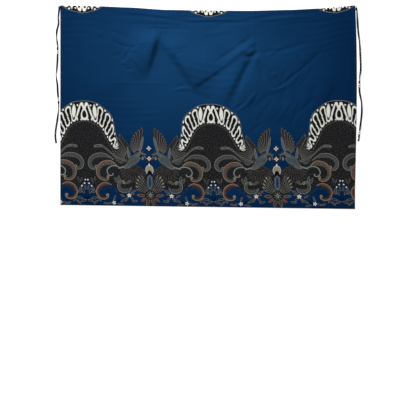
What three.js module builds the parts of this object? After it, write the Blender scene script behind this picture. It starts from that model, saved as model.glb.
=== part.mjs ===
// A wrap skirt laid flat, right side up: one printed cotton panel shaped by two darts at the
// waist, and a narrow cloth tie at each end of the waist edge.
// Millimetres, +Z up. X runs along the waist, +Y points from the hem to the waist, and the
// cloth rests on Z = 0. "across" is measured from the panel's left side, "down" from its waist.

import * as THREE from "three";

// Panel: driving sizes.
const PANEL_WIDTH = 1497;
const LEFT_LENGTH = 1014;
const RIGHT_LENGTH = 1035;
const RIGHT_SIDE_BOW = 10;
const CLOTH_WALL = 1.6;
const HEM_WALL = 2.8;
const SIDE_HEM = 12;
const WAIST_HEM = 9;

// How far the waist edge dips below the line between its two corners.
const WAIST_DIP = [
  { across: 0, dip: 0 },
  { across: 180, dip: 4 },
  { across: 350, dip: 11 },
  { across: 540, dip: 23 },
  { across: 720, dip: 26 },
  { across: 960, dip: 28 },
  { across: 1170, dip: 23 },
  { across: 1320, dip: 16 },
  { across: 1440, dip: 5 },
  { across: 1497, dip: 0 },
];

// Darts: the seam runs down from the waist to the tip, and the cloth swells below the tip.
const DART_INTAKE = 12;
const DART_SEAM_DEPTH = 0.7;
const DARTS = [
  { name: "left", across: 489, tip: 135, swell: 7, swellRadius: 70 },
  { name: "right", across: 989, tip: 176, swell: 9, swellRadius: 76 },
];

// Folds. Each is a crease from its start to its end, with the cloth high on one side of it, on
// the left hand going from start to end: steep over "flank" at the crease, then falling away
// over "reach". "bow" bends the crease towards its low side, and the fold fades in and out
// over the lengths "fadeIn" and "fadeOut" at its ends.
const FOLDS = [
  { name: "beside left dart", start: [440, 372], end: [499, 138],
    rise: 12, flank: 34, reach: 190, bow: 0, fadeIn: 110, fadeOut: 40 },
  { name: "belly, left arm", start: [508, 168], end: [668, 432],
    rise: 9, flank: 40, reach: 250, bow: -8, fadeIn: 60, fadeOut: 70 },
  { name: "belly, right arm", start: [652, 436], end: [990, 206],
    rise: 10, flank: 38, reach: 260, bow: 10, fadeIn: 80, fadeOut: 50 },
  { name: "trough, left wall", start: [842, 512], end: [984, 232],
    rise: 8, flank: 36, reach: 120, bow: -6, fadeIn: 120, fadeOut: 30 },
  { name: "trough, right wall", start: [1000, 240], end: [884, 500],
    rise: 6, flank: 44, reach: 150, bow: 0, fadeIn: 60, fadeOut: 140 },
  { name: "long right ridge", start: [846, 560], end: [1326, 208],
    rise: 9, flank: 56, reach: 210, bow: 26, fadeIn: 150, fadeOut: 160 },
  { name: "far right ridge", start: [1280, 590], end: [1450, 320],
    rise: 7, flank: 60, reach: 190, bow: 8, fadeIn: 130, fadeOut: 130 },
  { name: "left side roll", start: [88, 170], end: [186, 540],
    rise: 8, flank: 70, reach: 260, bow: -10, fadeIn: 160, fadeOut: 130 },
  { name: "border, left", start: [240, 600], end: [372, 940],
    rise: 5, flank: 90, reach: 230, bow: -12, fadeIn: 120, fadeOut: 120 },
  { name: "border, middle", start: [700, 950], end: [760, 600],
    rise: 5, flank: 90, reach: 220, bow: 10, fadeIn: 120, fadeOut: 120 },
  { name: "border, right", start: [1180, 620], end: [1250, 950],
    rise: 5, flank: 90, reach: 220, bow: -10, fadeIn: 120, fadeOut: 120 },
];

// The cloth rests flat wherever its folds would lift it by less than this.
const LEAST_LIFT = 1.2;

// Panel grid: stretches across and down, each cut into even cells.
const COLUMN_STRETCHES = [
  { to: SIDE_HEM, cells: 1 },
  { to: DARTS[0].across - DART_INTAKE, cells: 18 },
  { to: DARTS[0].across, cells: 1 },
  { to: DARTS[0].across + DART_INTAKE, cells: 1 },
  { to: DARTS[1].across - DART_INTAKE, cells: 19 },
  { to: DARTS[1].across, cells: 1 },
  { to: DARTS[1].across + DART_INTAKE, cells: 1 },
  { to: PANEL_WIDTH - SIDE_HEM, cells: 19 },
  { to: PANEL_WIDTH, cells: 1 },
];
const ROW_STRETCHES = [
  { to: WAIST_HEM, cells: 1 },
  { to: DARTS[0].tip, cells: 5 },
  { to: DARTS[1].tip, cells: 2 },
  { to: 570, cells: 17 },
  { to: LEFT_LENGTH, cells: 14 },
];

// Ties: flat strips sewn to the corners, which then lie beside the panel. "out" is the distance
// from the panel's side line to the middle of the strip, and "roll" turns the strip about its
// own length, in degrees, where it lies on its edge or turns over.
const TIE_WIDTH = 10;
const TIE_WALL = 2;
const TIE_STEPS = 72;
const SEAM_GAP = 0.3;
const SEWN_OUT = TIE_WIDTH / 2 + SEAM_GAP;
const LEFT_TIE = [
  { out: SEWN_OUT, down: 4, roll: 0 },
  { out: SEWN_OUT + 0.2, down: 20, roll: 0 },
  { out: 10, down: 58, roll: 40 },
  { out: 9, down: 92, roll: 14 },
  { out: 17, down: 128, roll: 0 },
  { out: 19, down: 160, roll: 62 },
  { out: 14, down: 204, roll: 20 },
  { out: 14, down: 265, roll: 0 },
  { out: 17, down: 320, roll: 30 },
  { out: 21, down: 355, roll: 70 },
  { out: 15, down: 400, roll: 16 },
  { out: 13, down: 440, roll: 0 },
  { out: 9, down: 485, roll: 24 },
  { out: 9, down: 528, roll: 66 },
  { out: 14, down: 575, roll: 12 },
  { out: 23, down: 632, roll: 0 },
  { out: 25, down: 665, roll: 20 },
  { out: 21, down: 700, roll: 0 },
];
const RIGHT_TIE = [
  { out: SEWN_OUT + 0.6, down: 4, roll: 0 },
  { out: SEWN_OUT + 2, down: 20, roll: 0 },
  { out: 10, down: 48, roll: 56 },
  { out: 13, down: 92, roll: 10 },
  { out: 17, down: 140, roll: 0 },
  { out: 22, down: 186, roll: 60 },
  { out: 26, down: 240, roll: 14 },
  { out: 29, down: 322, roll: 0 },
  { out: 23, down: 366, roll: 66 },
  { out: 22, down: 410, roll: 12 },
  { out: 24, down: 446, roll: 0 },
  { out: 32, down: 492, roll: 58 },
  { out: 34, down: 545, roll: 10 },
  { out: 29, down: 596, roll: 0 },
  { out: 23, down: 640, roll: 30 },
  { out: 17, down: 690, roll: 0 },
];

const BATIK_BLUE = new THREE.MeshStandardMaterial({ color: 0x123f6b, roughness: 0.85, metalness: 0 });
const TIE_BLUE = new THREE.MeshStandardMaterial({ color: 0x1b4a78, roughness: 0.85, metalness: 0 });

// Goes smoothly from 0 to 1 as the value goes from low to high.
function ease(value, low, high) {
  return THREE.MathUtils.smoothstep(value, low, high);
}

// Reads one column of a table at a place along another, smoothly and without overshoot.
function readTable(table, along, place, column) {
  const last = table.length - 2;
  const next = table.findIndex((row) => row[along] > place);
  const at = next < 0 ? last : Math.max(0, Math.min(last, next - 1));
  const share = ease(place, table[at][along], table[at + 1][along]);
  const straight = (place - table[at][along]) / (table[at + 1][along] - table[at][along]);
  const mix = (share + straight) / 2;
  return table[at][column] + (table[at + 1][column] - table[at][column]) * mix;
}

// Lines of the grid: the first at 0, then the end of each cell of each stretch.
function gridLines(stretches) {
  const lines = [0];
  for (const { to, cells } of stretches) {
    const from = lines[lines.length - 1];
    for (let cell = 1; cell <= cells; cell += 1) {
      lines.push(from + ((to - from) * cell) / cells);
    }
  }
  return lines;
}

// Height that one fold gives to the cloth at a place on it.
function foldHeight({ start, end, rise, flank, reach, bow, fadeIn, fadeOut }, across, down) {
  const run = [end[0] - start[0], end[1] - start[1]];
  const length = Math.hypot(run[0], run[1]);
  const along = ((across - start[0]) * run[0] + (down - start[1]) * run[1]) / length;
  const t = THREE.MathUtils.clamp(along / length, 0, 1);
  const bend = bow * 4 * t * (1 - t);
  const side = ((across - start[0]) * run[1] - (down - start[1]) * run[0]) / length + bend;
  const begun = ease(along, -fadeIn / 2, fadeIn);
  const ending = ease(along, length - fadeOut, length + fadeOut / 2);
  const profile = ease(side, -flank / 2, flank / 2) * (1 - ease(side, flank / 2, reach));
  return rise * begun * (1 - ending) * profile;
}

// Swell of the cloth below a dart's tip.
function swellHeight({ across, tip, swell, swellRadius }, atAcross, atDown) {
  const away = Math.hypot(atAcross - across, (atDown - tip - swellRadius / 2) * 0.7);
  return swell * (1 - ease(away, 0, swellRadius));
}

// Height of the cloth's underside above what it lies on.
function restHeight(across, down) {
  let height = 0;
  for (const fold of FOLDS) {
    height += foldHeight(fold, across, down);
  }
  for (const dart of DARTS) {
    height += swellHeight(dart, across, down);
  }
  return Math.max(0, height - LEAST_LIFT);
}

// Whether a place is in the doubled cloth of a turned hem, or in the folded cloth of a dart.
function isDoubled(across, down) {
  const inHem = across <= SIDE_HEM || across >= PANEL_WIDTH - SIDE_HEM || down <= WAIST_HEM;
  return inHem || DARTS.some((dart) => Math.abs(across - dart.across) < 1.5 * DART_INTAKE && down < dart.tip);
}

// Thickness of the cloth at a place on the panel.
function wallAt(across, down) {
  const wall = isDoubled(across, down) ? HEM_WALL : CLOTH_WALL;
  const onSeam = DARTS.some((dart) => across === dart.across && down < dart.tip);
  return onSeam ? wall - DART_SEAM_DEPTH : wall;
}

// Place on the resting surface of a point of the panel, from its place on the squared cloth.
function layOut(across, down) {
  const s = across / PANEL_WIDTH;
  const t = down / LEFT_LENGTH;
  const x = across + RIGHT_SIDE_BOW * s * s * Math.sin(Math.PI * Math.min(1, t * 1.1) ** 0.8) * (1 - t * 0.2);
  const waist = readTable(WAIST_DIP, "across", across, "dip");
  const hem = LEFT_LENGTH + (RIGHT_LENGTH - LEFT_LENGTH) * s;
  return { x, y: -(waist + (hem - waist) * t) };
}

// Joins equal rings of points into one closed body. The rings run end to end along the body.
function skinRings(rings) {
  const around = rings[0].length;
  const positions = rings.flat().flatMap((point) => [point.x, point.y, point.z]);
  const faces = [];
  for (let ring = 0; ring + 1 < rings.length; ring += 1) {
    for (let k = 0; k < around; k += 1) {
      const a = ring * around + k;
      const b = ring * around + ((k + 1) % around);
      faces.push(a, b, b + around, a, b + around, a + around);
    }
  }
  const end = (rings.length - 1) * around;
  for (let k = 0; k < around / 2 - 1; k += 1) {
    const m = around - 1 - k;
    faces.push(k, m, k + 1, m, m - 1, k + 1);
    faces.push(end + k, end + k + 1, end + m, end + m, end + k + 1, end + m - 1);
  }
  const geometry = new THREE.BufferGeometry();
  geometry.setAttribute("position", new THREE.Float32BufferAttribute(positions, 3));
  geometry.setIndex(faces);
  geometry.computeVertexNormals();
  return geometry;
}

// The panel: each grid line across it gives one ring, out along the underside, back on top.
function makePanel() {
  const rows = gridLines(ROW_STRETCHES);
  const rings = gridLines(COLUMN_STRETCHES).map((across) => {
    const under = rows.map((down) => {
      const { x, y } = layOut(across, down);
      return new THREE.Vector3(x, y, restHeight(across, down));
    });
    const over = under.map((point, row) => point.clone().setZ(point.z + wallAt(across, rows[row])));
    return [...over, ...under.reverse()];
  });
  return skinRings(rings);
}

// A tie: a flat strip swept along its table, rolled about its length and resting on Z = 0.
function makeTie(table, placeAcross) {
  const places = table.map(({ out, down }) => new THREE.Vector3(placeAcross(out), -down, 0));
  const path = new THREE.CatmullRomCurve3(places, false, "centripetal");
  const rings = [];
  for (let step = 0; step <= TIE_STEPS; step += 1) {
    const t = step / TIE_STEPS;
    const centre = path.getPoint(t);
    const tangent = path.getTangent(t);
    const row = Math.min(table.length - 2, Math.floor(t * (table.length - 1)));
    const share = t * (table.length - 1) - row;
    const roll = THREE.MathUtils.degToRad(THREE.MathUtils.lerp(table[row].roll, table[row + 1].roll, share));
    const side = new THREE.Vector3(-tangent.y, tangent.x, 0).normalize();
    const halves = [TIE_WIDTH / 2, TIE_WALL / 2];
    const lift = halves[0] * Math.sin(roll) + halves[1] * Math.cos(roll);
    const corners = [[-1, 1], [-1, -1], [1, -1], [1, 1]];
    rings.push(corners.map(([u, v]) => {
      const out = u * halves[0] * Math.cos(roll) - v * halves[1] * Math.sin(roll);
      const up = u * halves[0] * Math.sin(roll) + v * halves[1] * Math.cos(roll);
      return centre.clone().addScaledVector(side, out).setZ(lift + up);
    }));
  }
  return skinRings(rings);
}

function namedMesh(name, geometry, material) {
  const mesh = new THREE.Mesh(geometry, material);
  mesh.name = name;
  return mesh;
}

const skirt = new THREE.Group();
skirt.add(namedMesh("skirt_panel", makePanel(), BATIK_BLUE));
skirt.add(namedMesh("tie_left", makeTie(LEFT_TIE, (out) => -out), TIE_BLUE));
skirt.add(namedMesh("tie_right", makeTie(RIGHT_TIE, (out) => PANEL_WIDTH + out), TIE_BLUE));

// The origin is under the middle of the whole skirt, on the surface that it lies on.
const box = new THREE.Box3().setFromObject(skirt);
const middle = box.getCenter(new THREE.Vector3());
skirt.position.set(-middle.x, -middle.y, -box.min.z);

export default skirt;
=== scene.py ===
"""A wrap skirt laid flat: a batik cotton panel with two waist darts, and two narrow cloth ties."""

import logging
import math
from dataclasses import astuple, dataclass
from enum import Enum
from typing import Callable, Optional, Sequence, Union

import bmesh
import bpy
import numpy as np
from mathutils import Matrix, Vector


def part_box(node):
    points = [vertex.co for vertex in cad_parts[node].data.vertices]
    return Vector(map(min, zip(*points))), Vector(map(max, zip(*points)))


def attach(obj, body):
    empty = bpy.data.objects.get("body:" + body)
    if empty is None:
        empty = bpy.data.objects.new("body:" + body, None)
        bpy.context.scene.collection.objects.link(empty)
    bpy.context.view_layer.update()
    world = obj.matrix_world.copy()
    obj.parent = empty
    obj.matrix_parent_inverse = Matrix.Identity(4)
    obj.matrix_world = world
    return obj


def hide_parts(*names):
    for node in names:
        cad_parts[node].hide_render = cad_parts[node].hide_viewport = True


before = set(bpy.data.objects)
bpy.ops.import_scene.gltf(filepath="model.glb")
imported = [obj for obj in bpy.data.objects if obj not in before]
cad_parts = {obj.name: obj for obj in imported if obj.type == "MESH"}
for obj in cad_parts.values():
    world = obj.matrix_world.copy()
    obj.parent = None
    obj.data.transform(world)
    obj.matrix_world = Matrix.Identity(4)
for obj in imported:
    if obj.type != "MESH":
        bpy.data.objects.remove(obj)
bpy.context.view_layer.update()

log = logging.getLogger("wrap_skirt")

MM = 0.001

Pair = tuple[float, float]
Colour = tuple[float, float, float, float]


def linear(red: int, green: int, blue: int) -> Colour:
    """Turns a screen colour of 0 to 255 into the linear colour that shaders use.

    Args:
        red: Red share of the screen colour.
        green: Green share of the screen colour.
        blue: Blue share of the screen colour.

    Returns:
        The linear colour with full alpha.
    """
    shares = [value / 255 for value in (red, green, blue)]
    return tuple(s / 12.92 if s <= 0.04045 else ((s + 0.055) / 1.055) ** 2.4 for s in shares) + (1.0,)


class Dye(Enum):
    """The dye bath colours of the cloth, the undyed cotton that wax kept, and a navy that is painted shade.
    """

    BLUE = linear(15, 61, 103)
    # Painted shade: this navy is laid over the blue field where the light falls off.
    PAINTED_SHADE = linear(0, 36, 73)
    MIDNIGHT = linear(12, 19, 44)
    BLACK = linear(12, 12, 14)
    CHARCOAL = linear(24, 24, 27)
    CRACKLE = linear(70, 70, 74)
    CREAM = linear(233, 234, 226)
    BLUSH = linear(226, 208, 200)
    HUSK = linear(152, 142, 124)
    SLATE = linear(82, 91, 94)
    MIST = linear(165, 174, 172)
    GREY = linear(90, 95, 92)
    ASH = linear(66, 68, 66)
    BROWN = linear(74, 58, 52)
    UMBER = linear(44, 37, 36)
    SOOT = linear(30, 25, 26)
    RUST = linear(108, 74, 62)
    LINE = linear(140, 142, 136)


# ---------------------------------------------------------------- cloth form


def ease(value: np.ndarray, low: float, high: float) -> np.ndarray:
    """Goes smoothly from 0 to 1 as value goes from low to high.

    Args:
        value: Numbers to ease.
        low: Where the result leaves 0.
        high: Where the result reaches 1.

    Returns:
        The eased numbers.
    """
    share = np.clip((value - low) / (high - low), 0.0, 1.0)
    return share * share * (3.0 - 2.0 * share)


def arc(share: np.ndarray) -> np.ndarray:
    """Goes from 0 up to 1 at the middle and back to 0, as share goes from 0 to 1."""
    return 4.0 * share * (1.0 - share)


def wave(places: np.ndarray, length: float, start: Union[np.ndarray, float] = 0.0) -> np.ndarray:
    """A sine wave over places, of this length for each radian, from a start in radians."""
    return np.sin(places / length + start)


def beside(
    start: Pair, end: Pair, across: np.ndarray, down: np.ndarray
) -> tuple[np.ndarray, np.ndarray, float]:
    """Measures places from a straight line on the floor.

    Args:
        start: Where the line starts, across and down.
        end: Where it ends.
        across: Places on the floor, from the panel's left waist corner.
        down: Places on the floor, from the same corner.

    Returns:
        How far the places are along the line, how far to its left hand, and its length.
    """
    run = np.subtract(end, start)
    length = float(np.hypot(*run))
    along = ((across - start[0]) * run[0] + (down - start[1]) * run[1]) / length
    side = ((across - start[0]) * run[1] - (down - start[1]) * run[0]) / length
    return along, side, length


@dataclass(frozen=True)
class Fold:
    """A crease with the cloth high on its left hand, from start to end.

    Sizes are in millimetres, across and down on the floor from the panel's left waist corner. The
    cloth climbs over the flank and falls away again up to the reach.
    """

    start: Pair
    end: Pair
    rise: float
    flank: float
    reach: float
    bow: float
    fade_in: float
    fade_out: float

    def height(self, across: np.ndarray, down: np.ndarray) -> np.ndarray:
        """Height that the fold gives to the cloth.

        Args:
            across: Places on the floor, from the panel's left waist corner.
            down: Places on the floor, from the same corner.

        Returns:
            Heights in millimetres.
        """
        along, side, length = beside(self.start, self.end, across, down)
        side = side + self.bow * arc(np.clip(along / length, 0.0, 1.0))
        ends = ease(along, -self.fade_in / 2, self.fade_in)
        ends = ends * (1.0 - ease(along, length - self.fade_out, length + self.fade_out / 2))
        profile = ease(side, -self.flank / 2, self.flank / 2) * (1.0 - ease(side, self.flank / 2, self.reach))
        return self.rise * ends * profile


@dataclass(frozen=True)
class Crease:
    """A soft narrow ridge, or a trough where its height is negative, placed as a fold is.

    Its ends fade over a share of its length, and run past it by another share.
    """

    start: Pair
    end: Pair
    height_mm: float
    width: float
    bow: float = 0.0
    end_fade: float = 0.3
    end_overrun: float = 0.08

    def height(self, across: np.ndarray, down: np.ndarray) -> np.ndarray:
        """Height that the crease adds to the cloth.

        Args:
            across: Places on the floor, from the panel's left waist corner.
            down: Places on the floor, from the same corner.

        Returns:
            Heights in millimetres.
        """
        along, side, length = beside(self.start, self.end, across, down)
        share = along / length
        side = side + self.bow * arc(share)
        ends = ease(share, -self.end_overrun, self.end_fade)
        ends = ends * (1.0 - ease(share, 1.0 - self.end_fade, 1.0 + self.end_overrun))
        return self.height_mm * ends * np.exp(-((side / self.width) ** 2))


FOLDS = {
    "beside left dart": Fold((448, 354), (502, 142), 18, 34, 170, 0, 110, 60),
    "left of it": Fold((422, 362), (490, 160), 5, 50, 190, 0, 110, 90),
    "belly, left arm": Fold((508, 186), (676, 434), 17, 46, 230, -8, 90, 120),
    "belly, right arm": Fold((664, 428), (986, 196), 5.4, 28, 240, 10, 60, 50),
    "trough, left wall": Fold((842, 512), (984, 232), 13, 40, 120, -6, 120, 30),
    "trough, right wall": Fold((1000, 240), (884, 500), 8, 36, 150, 0, 60, 140),
    "long right ridge": Fold((880, 560), (1326, 208), 4.2, 40, 210, 26, 150, 160),
    "far right ridge": Fold((1280, 590), (1450, 320), 5, 60, 190, 8, 130, 130),
    "left side roll": Fold((88, 170), (186, 540), 7, 70, 260, -10, 160, 130),
    "border, left": Fold((240, 600), (372, 940), 5, 90, 230, -12, 120, 120),
    "border, middle": Fold((700, 950), (760, 600), 5, 90, 220, 10, 120, 120),
    "border, right": Fold((1180, 620), (1250, 950), 5, 90, 220, -10, 120, 120),
}

CREASES = (
    # Long shallow ripples that hang from the corners, under the waist edge.
    Crease((190, 34), (660, 84), -3.0, 5, -8),
    Crease((210, 52), (700, 96), -3.0, 5, -14),
    Crease((240, 40), (620, 72), 2.4, 4, -8),
    Crease((340, 96), (600, 104), -2.0, 5, -4),
    Crease((600, 96), (960, 92), -2.4, 5, -8),
    Crease((640, 80), (900, 74), 2.0, 5, -4),
    Crease((760, 104), (1100, 84), -2.0, 6, -8),
    Crease((900, 84), (1330, 34), -2.8, 5, -10),
    Crease((960, 92), (1300, 58), 2.2, 5, -8),
    Crease((980, 66), (1290, 40), -2.4, 4, -4),
    Crease((560, 62), (800, 66), -1.8, 4, -3),
    Crease((420, 118), (700, 128), -1.4, 5, -3),
    Crease((1080, 110), (1380, 84), -1.4, 5, -6),
    # Short ones to the left of the left dart.
    Crease((192, 140), (216, 156), 2.6, 7, 0),
    Crease((262, 178), (382, 214), -3.2, 6, 10),
    Crease((384, 200), (318, 300), -2.6, 6, 10),
    Crease((350, 258), (418, 344), 3.0, 6, -10),
    Crease((300, 330), (380, 338), 2.0, 5, 0),
    Crease((300, 286), (350, 300), 2.0, 5, 0),
    Crease((348, 238), (400, 244), -2.0, 5, 3),
    Crease((300, 150), (350, 172), -2.4, 5, 3),
    Crease((306, 300), (360, 262), 2.0, 7, 4),
    Crease((318, 330), (372, 316), -2.2, 7, 6),
    Crease((250, 128), (352, 158), -1.8, 8, 0),
    Crease((388, 196), (440, 190), 1.8, 7, 0),
    Crease((256, 262), (316, 246), -1.6, 8, 0),
    # Between the darts and up to the waist.
    Crease((780, 292), (982, 150), -3.6, 9, 4),
    Crease((700, 412), (850, 306), -1.4, 7, 4),
    Crease((560, 262), (668, 424), -3.0, 22, -6),
    Crease((592, 342), (678, 436), -3.0, 8, 0),
    Crease((830, 300), (1000, 178), 2.0, 8, -2),
    Crease((520, 232), (660, 210), -1.6, 8, 6),
    Crease((576, 250), (650, 232), -1.8, 7, 0),
    Crease((560, 280), (620, 296), 1.8, 7, 4),
    Crease((700, 150), (880, 120), 1.4, 10, 6),
    # Around and below the right dart.
    Crease((932, 268), (1012, 236), -7.5, 13, 3),
    Crease((990, 190), (996, 262), -3.4, 9, 0),
    Crease((994, 262), (1030, 390), -5.0, 13, -10),
    Crease((968, 300), (930, 400), 2.6, 7, 4),
    Crease((1010, 240), (1260, 186), -3.4, 10, 12),
    Crease((1050, 262), (1130, 216), 2.8, 8, -6),
    Crease((1070, 360), (1100, 340), 3.0, 7, 4),
    Crease((1150, 330), (1120, 400), -3.0, 10, 4),
    Crease((1060, 440), (1150, 396), 3.2, 9, 8),
    Crease((1150, 420), (1120, 520), -3.2, 11, 4),
    Crease((890, 540), (1000, 436), 3.0, 8, 8),
    Crease((1010, 590), (1076, 470), -2.6, 7, 4),
    Crease((1090, 600), (1176, 470), 2.4, 8, 5),
    Crease((1176, 610), (1216, 500), -3.0, 9, -3),
    Crease((960, 520), (1010, 440), -2.2, 7, 3),
    Crease((1210, 420), (1290, 300), -2.0, 9, 4),
    Crease((1000, 600), (1040, 520), -3.0, 9, 0),
    Crease((1230, 300), (1140, 420), 2.6, 12, -10),
    Crease((1092, 428), (1228, 320), -3.6, 7, 4),
    Crease((1196, 350), (1334, 222), -3.2, 7, 4),
    Crease((884, 536), (954, 484), -3.6, 7, 0),
    Crease((960, 646), (1030, 590), -3.0, 8, 4),
    Crease((1180, 566), (1290, 470), -2.4, 8, 4),
    # Old storage folds: level and upright lines.
    Crease((226, 392), (560, 398), 1.8, 5, 0),
    Crease((570, 434), (670, 428), 3.0, 6, -6),
    Crease((660, 440), (770, 478), -3.4, 8, 6),
    Crease((590, 416), (640, 402), -2.4, 6, 0),
    Crease((738, 30), (742, 520), 0.8, 4, 0),
    Crease((110, 120), (96, 480), -1.6, 12, 6),
    Crease((1440, 60), (1452, 420), -1.4, 10, 0),
    Crease((226, 300), (250, 560), 1.0, 10, 8),
    # Right side and border.
    Crease((1412, 300), (1352, 520), -1.8, 14, -8),
    Crease((1300, 400), (1260, 560), -2.0, 14, 6),
    Crease((400, 560), (480, 720), 1.6, 16, 10),
    Crease((560, 640), (620, 860), -1.6, 16, 0),
    Crease((930, 600), (880, 800), 1.8, 18, 10),
    Crease((1090, 640), (1040, 900), -1.6, 18, 0),
    Crease((120, 640), (180, 860), 1.6, 18, -8),
)

# Places across the panel, and how far the waist edge dips there.
WAIST_DIP = (
    (0, 0), (180, 4), (350, 11), (540, 23), (720, 26),
    (960, 28), (1170, 23), (1320, 16), (1440, 5), (1497, 0),
)


@dataclass(frozen=True)
class Dart:
    """A dart sewn down from the waist, with the swell of cloth below its tip, in millimetres.

    The swell is longer than it is wide. The seam is a groove, and the cloth folded behind it
    raises the cloth on its left.
    """

    across: float
    tip: float
    swell: float
    radius: float
    swell_slimness: float = 0.7
    doubled_rise: float = 1.1
    doubled_away: float = 8.0
    doubled_width: float = 9.0
    groove_depth: float = 1.4
    groove_width: float = 4.5
    fade_above: float = 14.0
    fade_below: float = 4.0

    def height(self, across: np.ndarray, down: np.ndarray) -> np.ndarray:
        """Height of the swell below the dart's tip.

        Args:
            across: Places from the panel's left side.
            down: Places from its waist.

        Returns:
            Heights in millimetres.
        """
        below = (down - self.tip - self.radius / 2) * self.swell_slimness
        return self.swell * (1.0 - ease(np.hypot(across - self.across, below), 0.0, self.radius))

    def seam(self, across: np.ndarray, down: np.ndarray) -> np.ndarray:
        """Height of the cloth that the seam pulls down, with the doubled cloth beside it.

        Args:
            across: Places from the panel's left side.
            down: Places from its waist.

        Returns:
            Heights in millimetres.
        """
        side = across - self.across
        above = 1.0 - ease(down, self.tip - self.fade_above, self.tip + self.fade_below)
        doubled = self.doubled_rise * np.exp(-(((side + self.doubled_away) / self.doubled_width) ** 2))
        groove = self.groove_depth * np.exp(-((side / self.groove_width) ** 2))
        return above * (doubled - groove)


@dataclass(frozen=True)
class PanelForm:
    """The laid-out shape of the panel, from the same sizes as the solid it stands for.

    Folds below least_lift rest on the floor, and lift_turn is how sharply they leave it. Near the
    edges the cloth lies calm. Elsewhere loose_lift raises it, so that troughs show as ridges do.
    """

    width: float = 1497.0
    left_length: float = 1014.0
    right_length: float = 1035.0
    side_bow: float = 10.0
    bow_run: float = 1.1
    bow_power: float = 0.8
    bow_fade: float = 0.2
    side_hem: float = 12.0
    waist_hem: float = 9.0
    least_lift: float = 1.2
    lift_turn: float = 1.5
    side_calm: float = 30.0
    end_calm: float = 26.0
    loose_lift: float = 1.6
    settle_height: float = 0.5
    wrinkle_height: float = 0.42
    darts: tuple[Dart, ...] = (Dart(489.0, 135.0, 4.0, 60.0), Dart(989.0, 176.0, 6.0, 70.0))

    def laid(self, across: np.ndarray, down: np.ndarray) -> tuple[np.ndarray, np.ndarray]:
        """Place on the floor of points of the squared cloth, before the frame's origin is set.

        Args:
            across: Places from the left side, 0 to width.
            down: Places from the waist, 0 to left_length.

        Returns:
            X and Y in millimetres, with the top left corner at 0, 0.
        """
        s = across / self.width
        t = down / self.left_length
        bow = np.sin(np.pi * np.minimum(1.0, t * self.bow_run) ** self.bow_power) * (1.0 - t * self.bow_fade)
        dips = np.array(WAIST_DIP, float)
        waist = smooth_table(across, dips[:, 0], dips[:, 1])
        hem = self.left_length + (self.right_length - self.left_length) * s
        return across + self.side_bow * s * s * bow, -(waist + (hem - waist) * t)

    def lift(self, across: np.ndarray, down: np.ndarray) -> np.ndarray:
        """Height of the cloth's underside above what it lies on, in millimetres.

        Args:
            across: Places from the left side.
            down: Places from the waist.

        Returns:
            Heights, 0 where the cloth rests.
        """
        x, y = self.laid(across, down)
        broad = sum(fold.height(x, -y) for fold in FOLDS.values())
        broad = broad + sum(dart.height(across, down) for dart in self.darts)
        broad = np.logaddexp(0.0, (broad - self.least_lift) * self.lift_turn) / self.lift_turn
        fine = sum(crease.height(x, -y) for crease in CREASES)
        fine = fine + sum(dart.seam(across, down) for dart in self.darts)
        fine = fine + self.wrinkles(across, down)
        edge = ease(np.minimum(across, self.width - across), 0.0, self.side_calm)
        edge = edge * ease(np.minimum(down, self.left_length - down), 0.0, self.end_calm)
        settle = wave(across, 37.0, 1.3 * wave(down, 61.0)) * wave(down, 43.0, 0.9 * wave(across, 83.0))
        loose = fine + self.settle_height * settle + self.loose_lift
        return np.maximum(0.0, broad + edge * loose)

    def wrinkles(self, across: np.ndarray, down: np.ndarray) -> np.ndarray:
        """Height of the faint level wrinkles, which come and go in patches.

        Args:
            across: Places from the left side.
            down: Places from the waist.

        Returns:
            Heights in millimetres.
        """
        wander = 2.2 * wave(across, 71.0) + 1.7 * wave(down, 97.0, across / 131.0)
        patch = wave(across, 113.0, 2.0 * wave(down, 139.0)) + wave(down, 89.0, across / 201.0)
        return self.wrinkle_height * wave(down, 5.3, wander) * ease(patch, 0.2, 1.6)


def smooth_table(places: np.ndarray, keys: np.ndarray, values: np.ndarray) -> np.ndarray:
    """Reads a table between its rows, half straight and half eased, as the solid's source does.

    Args:
        places: Where to read.
        keys: The table's rows, rising.
        values: What each row holds.

    Returns:
        The values at the places.
    """
    row = np.clip(np.searchsorted(keys, places, side="right") - 1, 0, len(keys) - 2)
    straight = np.clip((places - keys[row]) / (keys[row + 1] - keys[row]), 0.0, 1.0)
    mix = (straight + straight * straight * (3.0 - 2.0 * straight)) / 2.0
    return values[row] + (values[row + 1] - values[row]) * mix


# ---------------------------------------------------------------- pattern arithmetic

Number = Union["Term", float]


def feed(tree: bpy.types.NodeTree, socket: bpy.types.NodeSocket, value: object) -> None:
    """Gives an input its value.

    Args:
        tree: The tree that the input is in.
        socket: The input.
        value: A term or an output to link to it, or a fixed number or colour.
    """
    if isinstance(value, Term):
        value = value.socket
    if isinstance(value, bpy.types.NodeSocket):
        tree.links.new(value, socket)
    else:
        socket.default_value = value


def mixed(tree: bpy.types.NodeTree, factor: object, first: object, second: object) -> bpy.types.NodeSocket:
    """Mixes two colours.

    Args:
        tree: Where the node goes.
        factor: How much of the second colour is in the mix, as feed() takes it.
        first: The first colour, as feed() takes it.
        second: The second colour, as feed() takes it.

    Returns:
        The mixed colour's socket.
    """
    node = tree.nodes.new("ShaderNodeMix")
    node.data_type = "RGBA"
    colours = [socket for socket in node.inputs if socket.type == "RGBA"]
    for socket, value in zip((node.inputs["Factor"], *colours), (factor, first, second)):
        feed(tree, socket, value)
    return next(socket for socket in node.outputs if socket.type == "RGBA")


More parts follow.
